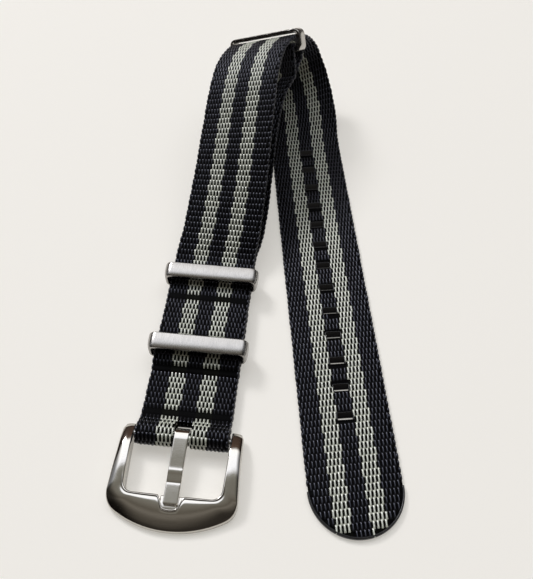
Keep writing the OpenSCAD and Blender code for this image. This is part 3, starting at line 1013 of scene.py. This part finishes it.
@dataclass
class MainStrap:
    """The long strap: from between its layers, round the spring bar, over the fold to the tip."""

    weave: Weave
    finishes: Finishes
    tail_back: float = 35.0
    tail_front: float = 76.0
    half_thickness: float = 0.6
    tip_r: float = 9.7
    tip_centre: float = 10.0
    tip_floats: float = 10.2
    selvedge_end: float = 10.0
    selvedge_seed: int = 3
    slot_start: float = 25.75
    slot_pitch: float = 6.83
    slot_count: int = 13
    slot_width: float = 3.5
    slot_length: float = 1.7
    slot_clear: Flat = (0.05, 0.6)
    seams: tuple[float, float, float] = (5.3, 15.8, 34.7)
    seam_width: float = 1.5
    seam_clear: float = 1.25
    seam_row: float = 1.45
    seam_float: float = 1.14
    seam_phase: float = 0.33
    eye_reach: float = 3.5
    eye_half: float = 1.8
    eye_clear: Flat = (0.1, 0.45)
    inner_phase: float = 0.253
    inner_slant: float = 0.054
    inner_start: float = 52.61
    low_z: float = 0.65
    mid_z: float = 1.95
    over_ring_z: float = 3.21
    loop_r: float = 1.75

    def course(self) -> Course:
        """Lay the strap's middle line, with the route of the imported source."""
        low, mid, over, bar = self.low_z, self.mid_z, self.over_ring_z, LAYOUT.bar_z
        top = bar + self.loop_r
        lower = [(33.6, low), (24, low), (12, low), (5, low), (2.6, low)]
        upper = [(1.3, top - 0.2), (2.6, top - 1.15), (3.7, mid + 0.25), (5, mid + 0.02),
                 (7.5, mid + 0.06), (11.5, mid + 0.06), (14.4, mid + 0.03), (16.6, mid + 0.7),
                 (18, over), (22, over + 0.05), (28.4, over + 0.05), (32.9, over), (37, over),
                 (40.4, over + 0.03), (44, over + 0.12), (48, over + 0.75)]
        fold = [(-25.1, -0.1, 6.3, -12.5, 3), (-22.2, 13.3, 11.5, -15, 8.5),
                (-19.9, 25.4, 16.6, -16.5, 13.5), (-17.6, 36.9, 21.3, -18, 17),
                (-15.3, 45.8, 23.2, -21, 18.5), (-12.4, 52.2, 23.1, -25, 21),
                (-9.2, 56.7, 21.2, -24.5, 24), (-6.3, 59.6, 17.8, -20, 26.5),
                (-3.9, 60.7, 14, -13, 27), (-2.4, 59.3, 10.2, -5, 24.5), (-1.1, 55.6, 7.1, 1, 19.5),
                (-0.2, 50.6, 4.7, 2, 12.5), (0.2, 45.1, 2.9, 1, 6), (0.1, 39.8, 1.4, 0, 1.5),
                (0, self.tail_back, self.half_thickness, 0, 0)]
        yaw = math.radians(LAYOUT.head_yaw)
        on_head = ((fold[0][0] - LAYOUT.head[0]) * math.sin(yaw)
                   + (fold[0][1] - LAYOUT.head[1]) * math.cos(yaw))
        line = smooth_line(lower, 0, len(lower) - 1, 6)[:-1]
        line += arc(0, bar, self.loop_r, 270, 90, 24)
        line += smooth_line(upper + [(on_head, fold[0][2])], 0, len(upper) - 1, 6)[:-1]
        places, across = side_stations(line, HEAD)
        guides = [LAYOUT.head_row(s, z) for s, z in upper[-2:]] + fold
        guides.append((0, self.tail_back - 7, self.half_thickness, 0, 0))
        run = route_stations(smooth_line(guides, 1, len(guides) - 2, 10))
        steps = 40
        places += run[0] + [
            Vector((0, self.tail_back - (self.tail_back + self.tail_front) * step / steps,
                    self.half_thickness)) for step in range(1, steps + 1)]
        across += run[1] + [Vector((1, 0, 0))] * steps
        made = Course(places, across)
        self.tail_reach = made.length - self.tail_back - self.tail_front
        made.melted = [(made.reach_of(HEAD @ Vector((0, s, z))), self.seam_width)
                       for s, z in zip(self.seams, (mid, mid + 0.4, over))]
        self.eye = tuple(made.reach_of(HEAD @ Vector((0, self.eye_reach, z)))
                         for z in (low, mid + 0.3))
        return made

    def slot_places(self) -> list[float]:
        """Middles of the slots along Y."""
        return [self.slot_start - self.tail_front + i * self.slot_pitch
                for i in range(self.slot_count)]

    def tip_arc(self, radius: float, steps: int) -> Loop:
        """Points round the tip."""
        return arc(0, self.tip_centre - self.tail_front, radius, 180, 360, steps)

    def tail_plate(self, webbing: Webbing) -> bpy.types.Object:
        """Make the flat tail's body with its slots and round tip."""
        half, shoulder = webbing.half_width, self.tip_centre + 1 - self.tail_front
        outer = [(half, shoulder), (half, self.tail_back), (-half, self.tail_back),
                 (-half, shoulder), *self.tip_arc(self.tip_r, 48)]
        slots = [[(x, y + at)
                  for x, y in rounded_rectangle(self.slot_width, self.slot_length, 0.3, 3)]
                 for at in self.slot_places()]
        piece = Plate(outer, slots, webbing.half_thickness, 0.15, 2).build(
            "main_tail_body", lambda x, y, z: Vector((x, y, z + self.half_thickness)))
        far = self.tail_reach + self.tail_back
        lay_uv(piece, [(v.co.x / MM, far - v.co.y / MM) for v in piece.data.vertices])
        piece.data.materials.append(self.finishes.body)
        return piece

    def sealed_edges(self) -> bpy.types.Object:
        """Make the sealed rims of the slots and of the round tip."""
        x, far = self.slot_width / 2, self.slot_length / 2
        # The slot's melted far wall slopes down below the webbing and covers most of the opening:
        # partly the real wall, partly painted shade over the floor seen through the slot
        side_view = [(far, 0.45), (far - 0.25, 0.3), (far - 0.7, -0.05), (far - 0.92, -0.3),
                     (far - 0.96, -0.5), (far, -0.5)]
        ledge = swept("ledge", [[(w, y, z) for y, z in side_view] for w in (-x, x)], smooth=False)
        lengths = {"First": self.slot_places()[0], "Pitch": self.slot_pitch,
                   "Length": self.slot_length + 0.1, "Width": self.slot_width + 0.1,
                   "Corner": 0.35, "Lip": 0.2, "Height": 0.57, "Middle": self.half_thickness}
        slots = baked("main_slot_rims", new_object("carrier", [(0, 0, 0)], []), rim_tree(), {
            **{key: value * MM for key, value in lengths.items()}, "Count": self.slot_count,
            "Ledge": ledge, "Material": self.finishes.sealed})
        bpy.data.objects.remove(ledge)
        rows = []
        for x, y in self.tip_arc(self.tip_r - 0.02, 72):
            out = Vector((x, y - (self.tip_centre - self.tail_front), 0)).normalized()
            rows.append([Vector((x, y, self.half_thickness)) + out * (0.3 * a)
                         + Vector((0, 0, 0.56 * b)) for a, b in arc(0, 0, 1, 0, 330, 11)])
        tip = swept("main_tip_rim", rows)
        tip.data.materials.append(self.finishes.sealed)
        return join("main_sealed_edges", [slots, tip])

    def blocks(self, line: Course) -> list[tuple[Face, dict[str, float]]]:
        """Blocks of rows: the whole inner face, and the outer one between the melted lines."""
        row_pitch, clear, eye = self.weave.row_pitch, self.seam_clear, self.eye
        tail = self.tail_reach + self.tail_back
        lengths = {"Tip Centre": tail + self.tail_front - self.tip_floats,
                   "Slot At": tail - self.slot_places()[-1], "Slot Pitch": self.slot_pitch,
                   "Slot Half Width": self.slot_width / 2 + self.slot_clear[0],
                   "Slot Half Length": self.slot_length / 2 + self.slot_clear[1],
                   "Eye At": sum(eye) / 2, "Eye Half Width": self.eye_half + self.eye_clear[0],
                   "Eye Half Length": (eye[1] - eye[0]) / 2 + self.eye_clear[1]}
        slots = {"Slot Count": float(self.slot_count),
                 **{key: value * MM for key, value in lengths.items()}}
        start = (tail + self.inner_start) % (3 * row_pitch)
        seams = [at for at, _ in line.melted]
        first = int((seams[0] - clear) / row_pitch) + 1
        blocks = [(Face.INNER, {**slots, "Phase": self.inner_phase, "Slant": self.inner_slant,
                                "Start": start * MM}),
                  (Face.OUTER, {**slots, "Rows": first,
                                "Start": (seams[0] - clear - (first - 1) * row_pitch) * MM})]
        for number, (a, b) in enumerate(zip(seams, seams[1:])):
            count = round((b - a - 2 * clear) / self.seam_row)
            pitch = (b - a - 2 * clear) / count
            blocks.append((Face.OUTER, {**slots, "Start": (a + clear) * MM, "Rows": count + 1,
                                        "Row Pitch": pitch * MM, "Phase": self.seam_phase * number,
                                        "Float Length": pitch * self.seam_float * MM}))
        return blocks + [(Face.OUTER, {**slots, "Start": (seams[-1] + clear) * MM})]

    def build(self) -> None:
        line = self.course()
        webbing = Webbing("main", line, self.weave, self.finishes)
        body = join("main_webbing", [
            webbing.body(line.cut(0, self.tail_reach + 0.3), "main_body", self.eye),
            self.tail_plate(webbing)])
        blocks = self.blocks(line)
        parts = [webbing.yarns(shade, blocks) for shade in Shade]
        woven = line.length - self.selvedge_end
        parts += [webbing.selvedge(line.cut(0, woven), woven, self.selvedge_seed),
                  self.sealed_edges()]
        tip_corners = (1 - math.pi / 4) * webbing.width ** 2 / 2
        area = (webbing.width * line.length - tip_corners
                - self.slot_count * self.slot_width * self.slot_length)
        webbing.declare(body, parts, "main_strap", area=area * MM * MM,
                        rests_on=["keeper_1", "keeper_2"])


@dataclass
class UnderStrap:
    """The short second layer, from between the main strap's layers to the end ring's loop."""

    weave: Weave
    finishes: Finishes
    selvedge_seed: int = 5
    fold_back_end: float = 33.6
    start: float = 31.6
    low_z: float = 0.65
    mid_z: float = 1.95
    bar_z: float = -2.55
    loop_side: float = 2.5
    loop_over: float = -1.05
    loop_corner: float = 1.2
    loop_leg: float = 6.4

    def course(self) -> Course:
        """Lay the under-strap's middle line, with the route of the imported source."""
        drop, mid, low = self.fold_back_end + 0.4, self.mid_z, self.low_z
        flat = [(self.start, mid - 0.02), (drop - 0.9, mid - 0.02), (drop, mid - 0.04),
                (drop + 1.7, mid - 0.65), (drop + 3, low + 0.08), (drop + 4.4, low), (41, low),
                (50, low)]
        places, across = side_stations(smooth_line(flat, 0, 7, 6)[:-1], HEAD)
        slack = [(-24.4, 2, 0.95, -11, 0.5), (-22.5, 9.7, 2.4, -12.5, 2),
                 (-20.3, 20.4, 6.1, -14, 7), (-17.8, 32, 10.2, -17.5, 14),
                 (-14.4, 42.4, 12.4, -23, 21)]
        side, over, corner, bar = self.loop_side, self.loop_over, self.loop_corner, self.bar_z
        first = (-side - 0.8, bar - self.loop_leg)
        ring_frame = LAYOUT.ring_matrix()
        ends = side_stations((first, (first[0] + 0.25, first[1] + 2)), ring_frame)[0]
        guides = [LAYOUT.head_row(s, low) for s in (41, 50)] + slack
        guides += [(*p, LAYOUT.ring_yaw, LAYOUT.ring_roll) for p in ends]
        loop = [first, (-side - 0.45, bar - 4), (-side - 0.1, bar - 1.6)]
        loop += arc(-side + corner, over - corner, corner, 180, 90, 8)
        loop += arc(side - corner, over - corner, corner, 90, 0, 8)
        loop += [(side - 0.1, bar - 1), (side - 1, bar - 2.4), (0, bar - 3.5),
                 (-side + 1.1, bar - 4.6), (-side + 0.7, bar - self.loop_leg + 0.2)]
        for more in (route_stations(smooth_line(guides, 1, len(guides) - 2, 8)[:-1]),
                     side_stations(loop, ring_frame)):
            places += more[0]
            across += more[1]
        return Course(places, across)

    def build(self) -> None:
        line = self.course()
        webbing = Webbing("under", line, self.weave, self.finishes)
        body = webbing.body(line, "under_webbing")
        plain = [(Face.OUTER, {"Phase": 0.3}), (Face.INNER, {"Phase": 0.6})]
        parts = [webbing.yarns(shade, plain) for shade in Shade]
        parts.append(webbing.selvedge(line, line.length, self.selvedge_seed))
        webbing.declare(body, parts, "under_strap", rests_on=["end_ring"])


# Metal


def dress(piece: bpy.types.Object, material: bpy.types.Material, body: str,
          node: str = "") -> None:
    """Give a piece its finish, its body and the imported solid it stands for."""
    piece.data.materials.append(material)
    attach(piece, body)
    if node:
        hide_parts(node)


@dataclass
class Rings:
    """Two keepers and the end ring: flat stainless rings with softened edges."""

    finishes: Finishes
    bar: float = 1.2
    end_length: float = 3.2
    keeper_length: float = 4.0
    width: float = 20.0
    keeper_gap: float = 3.0
    end_gap: float = 3.9
    keeper_play: float = 0.2
    end_play: float = 0.5
    corner: float = 1.8
    edge: float = 0.62
    run: float = 2.9
    low_run: float = 0.4
    end_share: float = 0.45
    low_z: float = 1.33
    keeper_places: Flat = (40.75, 20.8)

    def ring(self, name: str, gap: float, play: float, length: float, share: float,
             frame_of: Matrix) -> bpy.types.Object:
        """Make one ring, whose large faces set its shading.

        Args:
            name: Name of the piece.
            gap: Height of its opening.
            play: Room on each side of the webbing.
            length: Length along the webbing.
            share: How much of the full crown it has.
            frame_of: Frame whose y runs through the opening.

        Returns:
            The ring.
        """
        inner_w = self.width + 2 * play
        outer = rounded_rectangle(inner_w + 2 * self.bar, gap + 2 * self.bar, self.corner, 8)
        hole = rounded_rectangle(inner_w, gap, max(self.corner - self.bar, 0.3), 4)
        plate = Plate(outer, [hole], length / 2, share * self.edge, 8, share * self.run,
                      self.low_run)
        piece = plate.build(name, lambda x, y, z: frame_of @ Vector((x, -z, y)))
        modifier = piece.modifiers.new("weighted", "WEIGHTED_NORMAL")
        modifier.keep_sharp = True
        modifier.weight = 80
        return piece

    def build(self) -> None:
        """Build the three rings and put each on its own body."""
        lift = self.low_z + self.bar + self.keeper_gap / 2
        for number, at in enumerate(self.keeper_places, 1):
            piece = self.ring(f"keeper_{number}", self.keeper_gap, self.keeper_play,
                              self.keeper_length, 1.0, HEAD @ Matrix.Translation((0, at, lift)))
            dress(piece, self.finishes.satin, f"keeper_{number}",
                  f"keeper_ring_{number}")
        piece = self.ring("end_ring_satin", self.end_gap, self.end_play, self.end_length,
                          self.end_share, LAYOUT.ring_matrix())
        dress(piece, self.finishes.ring_satin, "ring_end", "end_ring")


@dataclass
class Buckle:
    """The polished frame, its tongue, and the spring bar that the strap turns on."""

    finishes: Finishes
    rail_in: float = 10.3
    front_out: float = 13.3
    reach: float = 18.95
    window: float = 12.3
    front_r: float = 23.0
    lug: float = 2.0
    notch_half: float = 2.05
    notch_end: float = 14.9
    notch_ease: float = 1.5
    notch_bow: float = 0.12
    corner: float = 2.0
    rail_draw: float = 0.35
    rail_fall: float = 1.15
    rail_steps: int = 14
    corner_steps: int = 8
    bead_start: float = 8.5
    bead_ease: float = 2.5
    outer_edge: float = 0.28
    coil_r: float = 0.45
    coil_wire: float = 0.1
    coil_start: float = 0.12
    coil_half: float = 5.2
    pin_travel: float = 1.1
    top: tuple[Flat, ...] = (
        (-19.3, 0.8), (-18.3, 1.7), (-17.4, 2.15), (-16, 2.6), (-14, 3.0), (-12.3, 3.25),
        (-11.5, 3.36), (-10.5, 3.52), (-9.5, 3.68), (-8.5, 3.84), (-7.5, 3.97), (-6.5, 4.04),
        (-4.5, 4.08), (-2.8, 4.03), (-1.9, 3.91), (-0.8, 3.62), (0.6, 3.16), (2.1, 2.6))
    bottom: tuple[Flat, ...] = ((-19.3, 0.2), (-18.6, 0.02), (-15, 0.02), (-9, 0.35), (0, 1.0),
                                (2.1, 1.12))
    bar_face: tuple[Flat, ...] = (
        (0.0, 3.3), (0.1, 3.3), (0.2, 3.28), (0.28, 3.22), (0.39, 3.07), (0.54, 2.78),
        (0.7, 2.35), (0.85, 1.85), (0.95, 1.48), (1.0, 1.25))
    rail_side: tuple[Flat, ...] = ((-8, 13.05), (-4, 12.85), (1.1, 12.85), (1.7, 12.7),
                                   (2.0, 12.4))
    lip: tuple[tuple[float, float, float], ...] = (
        (0.0, -0.6, 0), (0.02, -0.3, 0), (0.07, -0.13, 0.02), (0.14, -0.05, 0.1),
        (0.3, -0.01, 0.13), (0.45, 0, 0.13), (0.52, 0, 0.07), (0.59, 0, -0.03), (0.68, 0, -0.05),
        (0.85, 0, 0))

    def face(self, share: float, y: float, front: float) -> float:
        """Height of the frame's face.

        Args:
            share: Place between the inner edge at 0 and the outer edge at 1.
            y: Distance from the spring bar.
            front: From 0 on a side rail to 1 on the front bar.

        Returns:
            The height above the strap's underside.
        """
        rail = read(self.top, y) - self.rail_fall * max(share - 0.3, 0.0) ** 2
        return rail + (read(self.bar_face, share) - rail) * front

    def outlines(self) -> tuple[Loop, Loop]:
        """Matching inner and outer edges, from the right lug round the front to the left lug."""
        inner: Loop = []
        outer: Loop = []
        side, corner = self.rail_in - self.rail_draw, self.corner
        rail_side = [(-self.window, self.front_out), *self.rail_side]
        for f in (k / self.rail_steps for k in range(self.rail_steps + 1)):
            y = self.lug + (-self.window + corner - self.lug) * f
            inner.append((self.rail_in + (side - self.rail_in) * f * f, y))
            outer_y = self.lug + (-self.window - self.lug) * f
            outer.append((read(rail_side, outer_y), outer_y))
        corner_out = self.bowed(self.front_out, corner)
        inner += arc(side - corner, corner - self.window, corner, 0, -90, self.corner_steps)[1:]
        outer += corner_out[1:]
        start_x, end_x, notch_x = side - corner, corner_out[-1][0], 3.1
        xs = [start_x * (1 - k / 10) + notch_x * k / 10 for k in range(1, 11)]
        xs += [2.95, 2.8, 2.65, 2.5, 2.4, 2.3, 2.2, 2.1, 2.0, 1.9, 1.8, 1.7, 1.6, 1.5, 1.4, 1.3,
               1.15, 0.9, 0.5, 0.0]
        for x in xs:
            f = clamped((x - self.notch_half) / self.notch_ease + 0.5)
            ease = f * f * (3 - 2 * f)
            inner.append((x, -self.notch_end + (self.notch_end - self.window) * ease
                          + self.notch_bow * min(x, 1.5) ** 2 * (1 - ease)))
            wide = x * end_x / start_x
            outer.append((wide, self.front_y(wide)))
        mirror = [[(-x, y) for x, y in reversed(loop[:-1])] for loop in (inner, outer)]
        return inner + mirror[0], outer + mirror[1]

    def front_y(self, x: float) -> float:
        """Distance of the bowed front edge at a place across the buckle."""
        return self.front_r - self.reach - math.sqrt(self.front_r ** 2 - x * x)

    def bowed(self, x: float, radius: float) -> Loop:
        """Points round the outer front corner, from the side edge to the front edge."""
        start, corner = (x, -self.window), (x, self.front_y(x) - 0.1)
        end = (x - radius, self.front_y(x - radius))
        return [tuple((1 - f) ** 2 * a + 2 * f * (1 - f) * b + f * f * c
                      for a, b, c in zip(start, corner, end))
                for f in (k / self.corner_steps for k in range(self.corner_steps + 1))]

    def frame_piece(self) -> bpy.types.Object:
        """Sweep the frame's section between its inner and outer edges."""
        inner, outer = self.outlines()
        q, flat_from = self.outer_edge, self.lip[-1][0]
        rows = []
        for number, ((ix, iy), (ox, oy)) in enumerate(zip(inner, outer)):
            width = math.hypot(ox - ix, oy - iy)
            dx, dy = (ox - ix) / width, (oy - iy) / width
            from_lug = min(number, len(inner) - 1 - number)
            front = clamped((from_lug - self.rail_steps) / self.corner_steps)
            bead = clamped((-iy - self.bead_start) / self.bead_ease)
            row = [(d, rise + bead * more) for d, rise, more in self.lip]
            row += [(flat_from + (width - flat_from - q) * k / 9, 0.0) for k in range(1, 9)]
            row += [(width - q + q * math.sin(a), -(q - q * math.cos(a)))
                    for a in (math.pi / 2 * k / 5 for k in range(6))]
            heights = []
            for d, rise in row:
                y = iy + dy * d
                share = (-self.window - y) / (-self.window - oy) if front >= 1 else d / width
                heights.append((d, self.face(max(share, 0.0), y, front) + rise))
            points = []
            for d, z in heights + [(width, 0.25), (width - 0.25, 0.0), (0.2, 0.0), (0.0, 0.2)]:
                x, y = ix + dx * d, iy + dy * d
                low = read(self.bottom, y)
                points.append(HEAD @ Vector((x, y, max(z, low + 0.02) if z > 0.25 else low + z)))
            rows.append(points)
        return swept("buckle_frame_polished", rows)

    def notch_floor(self) -> bpy.types.Object:
        """Make the low step that the tongue's tip rests in."""
        middle, half_height, centre_z = -(self.notch_end + self.window) / 2, 0.92, 0.94
        outline = rounded_rectangle(2 * self.notch_half + 0.6,
                                    self.notch_end - self.window + 0.5, 0.3, 3)
        return Plate(outline, [], half_height, 0.2, 3).build(
            "buckle_notch", lambda x, y, z: HEAD @ Vector((x, y + middle, z + centre_z)))

    def tongue_piece(self) -> bpy.types.Object:
        """Bend a flat strip round the spring bar and down into the front bar's notch."""
        bar, middle, half_w, half_t, soft = LAYOUT.bar_z, 1.4, 1.5, 0.45, 0.13
        top, low = bar + middle, 2.64
        line = arc(0, bar, middle, 215, 444, 26) + smooth_line([
            (0.8, top), (0, top), (-0.7, top - 0.01), (-1.5, top - 0.1), (-4, top - 0.42),
            (-6.6, top - 0.76), (-7.3, top - 0.8), (-7.7, top - 0.86), (-8.2, top - 0.98),
            (-9.2, low + 0.18), (-9.7, low + 0.05), (-10.1, low + 0.04), (-10.6, low),
            (-12, low - 0.13), (-14.0, low - 0.32), (-15, low - 0.42)], 1, 14, 8)
        flats = [half_w - 2.5 * soft, 0.4, -0.4, -half_w + 2.5 * soft]
        section = [(x, half_t) for x in flats]
        for cx, cz, start in ((-1, 1, 90), (-1, -1, 180), (1, -1, 270), (1, 1, 0)):
            section += arc(cx * (half_w - soft), cz * (half_t - soft), soft, start, start + 90, 3)
            if start == 180:
                section += [(x, -half_t) for x in reversed(flats)]
        last = len(line) - 1
        # Place on the line, size and draw of each row: both ends are closed softly
        rows = [(0, 0.75, 0.0), (0, 0.93, 0.06), *((i, 1.0, 0.0) for i in range(1, last)),
                (last, 0.93, -0.06), (last, 0.75, 0.0)]
        made = []
        for i, size, draw in rows:
            a, b = line[max(i - 1, 0)], line[min(i + 1, last)]
            run = math.hypot(b[0] - a[0], b[1] - a[1])
            dy, dz = (b[0] - a[0]) / run, (b[1] - a[1]) / run
            made.append([HEAD @ Vector((x * (0.5 + 0.5 * size),
                                        line[i][0] + dy * draw + dz * h * size,
                                        line[i][1] + dz * draw - dy * h * size))
                         for x, h in section])
        return swept("tongue_polished", made)

    def coil_piece(self, side: int, word: str) -> bpy.types.Object:
        """Build the half of the coil that one pin pushes.

        Args:
            side: -1 for the left half, 1 for the right half.
            word: The half's word in its name.

        Returns:
            One unbroken tube that ends at the middle of the bar.
        """
        sides, rings, turns = 6, 12, 6
        wire = [math.tau * k / sides for k in range(sides)]
        reaches = [self.coil_r + self.coil_wire * math.cos(a) for a in wire]
        rows = []
        for share in (i / (turns * rings) for i in range(turns * rings + 1)):
            turn = math.tau * turns * share
            x = side * (self.coil_start + (self.coil_half - self.coil_start) * share)
            rows.append([HEAD @ Vector((x + self.coil_wire * math.sin(a), r * math.cos(turn),
                                        LAYOUT.bar_z + r * math.sin(turn)))
                         for a, r in zip(wire, reaches)])
        return swept(f"spring_bar_coil_{word}", rows)

    def build(self) -> None:
        """Build the frame, the tongue and the coil, and dress the spring bar."""
        frame_made = join("buckle_frame_polished", [self.frame_piece(), self.notch_floor()])
        for piece, body, node in ((frame_made, "buckle", "buckle_frame"),
                                  (self.tongue_piece(), "tongue", "buckle_tongue")):
            dress(piece, self.finishes.polished, body, node)
        for node in ("spring_bar_tube", "spring_bar_pin_left", "spring_bar_pin_right"):
            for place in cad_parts[node].material_slots:
                place.material = self.finishes.drawn
        for side, word in ((-1, "left"), (1, "right")):
            half = self.coil_piece(side, word)
            dress(half, self.finishes.drawn, "buckle")
            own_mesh(half)
        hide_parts("spring_bar_coil")


# Studio


@dataclass
class Studio:
    """A pale floor under a wide soft light, strongest behind and to the left of the strap."""

    floor: str = "#cfccc6"
    seen: str = "#f6f3ec"
    backdrop: str = "#ebe9e3"
    glow: float = 0.43
    key: float = 19.0
    key_size: float = 0.5
    key_at: tuple[float, float, float] = (-0.95, 1.3, 1.4)
    strength: float = 2.0
    levels: tuple[tuple[float, str], ...] = (
        (-90, "#46423e"), (-72, "#34302c"), (-58, "#25221f"), (-46, "#2c2925"), (-34, "#4c4842"),
        (-26, "#64605a"), (-19, "#504c45"), (-8, "#63605a"), (2, "#6a6963"), (8, "#80807c"),
        (14, "#f1f5ff"), (39, "#fcfdff"), (46, "#4a3a30"), (62, "#3a2e28"), (90, "#2a2420"))

    def build(self) -> None:
        """Build the camera, the floor, the lamp and the world."""
        scene = bpy.context.scene
        scene.view_settings.view_transform = "Standard"
        self.place_camera()
        floor = new_object("floor", [(-900, -900, 0), (900, -900, 0), (900, 900, 0),
                                     (-900, 900, 0)], [(0, 1, 2, 3)], smooth=False)
        floor.location.z = -0.00002
        floor.data.materials.append(self.card())
        floor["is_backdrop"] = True
        data = bpy.data.lights.new("key", "AREA")
        data.shape = "SQUARE"
        data.size = self.key_size
        data.energy = self.key
        data.color = linear("#fcfcff")[:3]
        lamp = placed("key", data)
        lamp.location = self.key_at
        lamp.rotation_euler = (-Vector(self.key_at)).to_track_quat("-Z", "Y").to_euler()
        scene.world = self.world()

    def place_camera(self) -> None:
        """Place the camera at the photograph's viewing angle."""
        data = bpy.data.cameras.new("camera")
        data.sensor_fit = "HORIZONTAL"
        data.sensor_width = 36.0
        data.lens = 43.43
        data.clip_start = 0.001
        camera = placed("camera", data)
        camera.location = Vector((-20.88, -106.44, 131.0)) * MM
        camera.rotation_euler = (math.radians(35.0), 0.0, math.radians(-3.85))
        bpy.context.scene.camera = camera

    def world(self) -> bpy.types.World:
        """Build the soft light as bands across the sky, which fade to both sides."""
        world = bpy.data.worlds.new("studio")
        world.use_nodes = True
        tree = world.node_tree
        part = split(add_node(tree, "ShaderNodeTexCoord")["Generated"])
        tilt = add_node(tree, "ShaderNodeMapRange", {
            "Value": part["Y"].math("ARCTAN2", part["Z"]), "From Min": -math.pi / 2,
            "From Max": math.pi / 2})
        ramp = add_node(tree, "ShaderNodeValToRGB", {"Fac": tilt})
        stops = ramp.node.color_ramp.elements
        for angle, colour in self.levels:
            at = (angle + 90) / 180
            stop = stops[0] if at <= 0 else stops[-1] if at >= 1 else stops.new(at)
            stop.color = linear(colour)
        side = add_node(tree, "ShaderNodeMapRange", {
            "Value": abs(part["X"]), "From Min": 0.5, "From Max": 0.78,
            "To Min": self.strength, "To Max": 0.3}, interpolation_type="SMOOTHSTEP")
        back = tree.nodes["Background"]
        fill(back, {"Color": ramp, "Strength": side})
        # Past the floor's far edge, the camera sees the floor's own colour
        plain = add_node(tree, "ShaderNodeBackground", {
            "Color": linear(self.backdrop), "Strength": 1.0})
        seen = add_node(tree, "ShaderNodeLightPath")["Is Camera Ray"]
        chosen = add_node(tree, "ShaderNodeMixShader", {0: seen, 1: Term(back), 2: plain})
        fill(tree.nodes["World Output"], {"Surface": chosen})
        return world

    def card(self) -> bpy.types.Material:
        """Build the floor's matt card, which glows a little where it is seen or reflected."""
        card = bpy.data.materials.new("matt_card")
        card.use_nodes = True
        tree = card.node_tree
        shader = tree.nodes["Principled BSDF"]
        fill(shader, {"Base Color": linear(self.floor), "Roughness": 0.9})
        path = add_node(tree, "ShaderNodeLightPath")
        seen = path["Is Camera Ray"].math("MAXIMUM", path["Is Glossy Ray"].math(
            "MAXIMUM", path["Is Transmission Ray"])) * self.glow
        shine = add_node(tree, "ShaderNodeEmission", {"Color": linear(self.seen), "Strength": seen})
        both = add_node(tree, "ShaderNodeAddShader", {0: Term(shader), 1: shine})
        fill(tree.nodes["Material Output"], {"Surface": both})
        return card


def main() -> None:
    """Build the strap piece by piece and report each."""
    logging.basicConfig(level=logging.INFO, format="%(name)s: %(message)s")
    Studio().build()
    finishes = Finishes()
    weave = Weave()
    for maker in (MainStrap(weave, finishes), UnderStrap(weave, finishes), Rings(finishes),
                  Buckle(finishes)):
        maker.build()
    for form in weave.forms.values():
        bpy.data.objects.remove(form)
    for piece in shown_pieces():
        LOG.info("%s: %d faces", piece.name, len(piece.data.polygons))


if __name__ == "__main__":
    main()
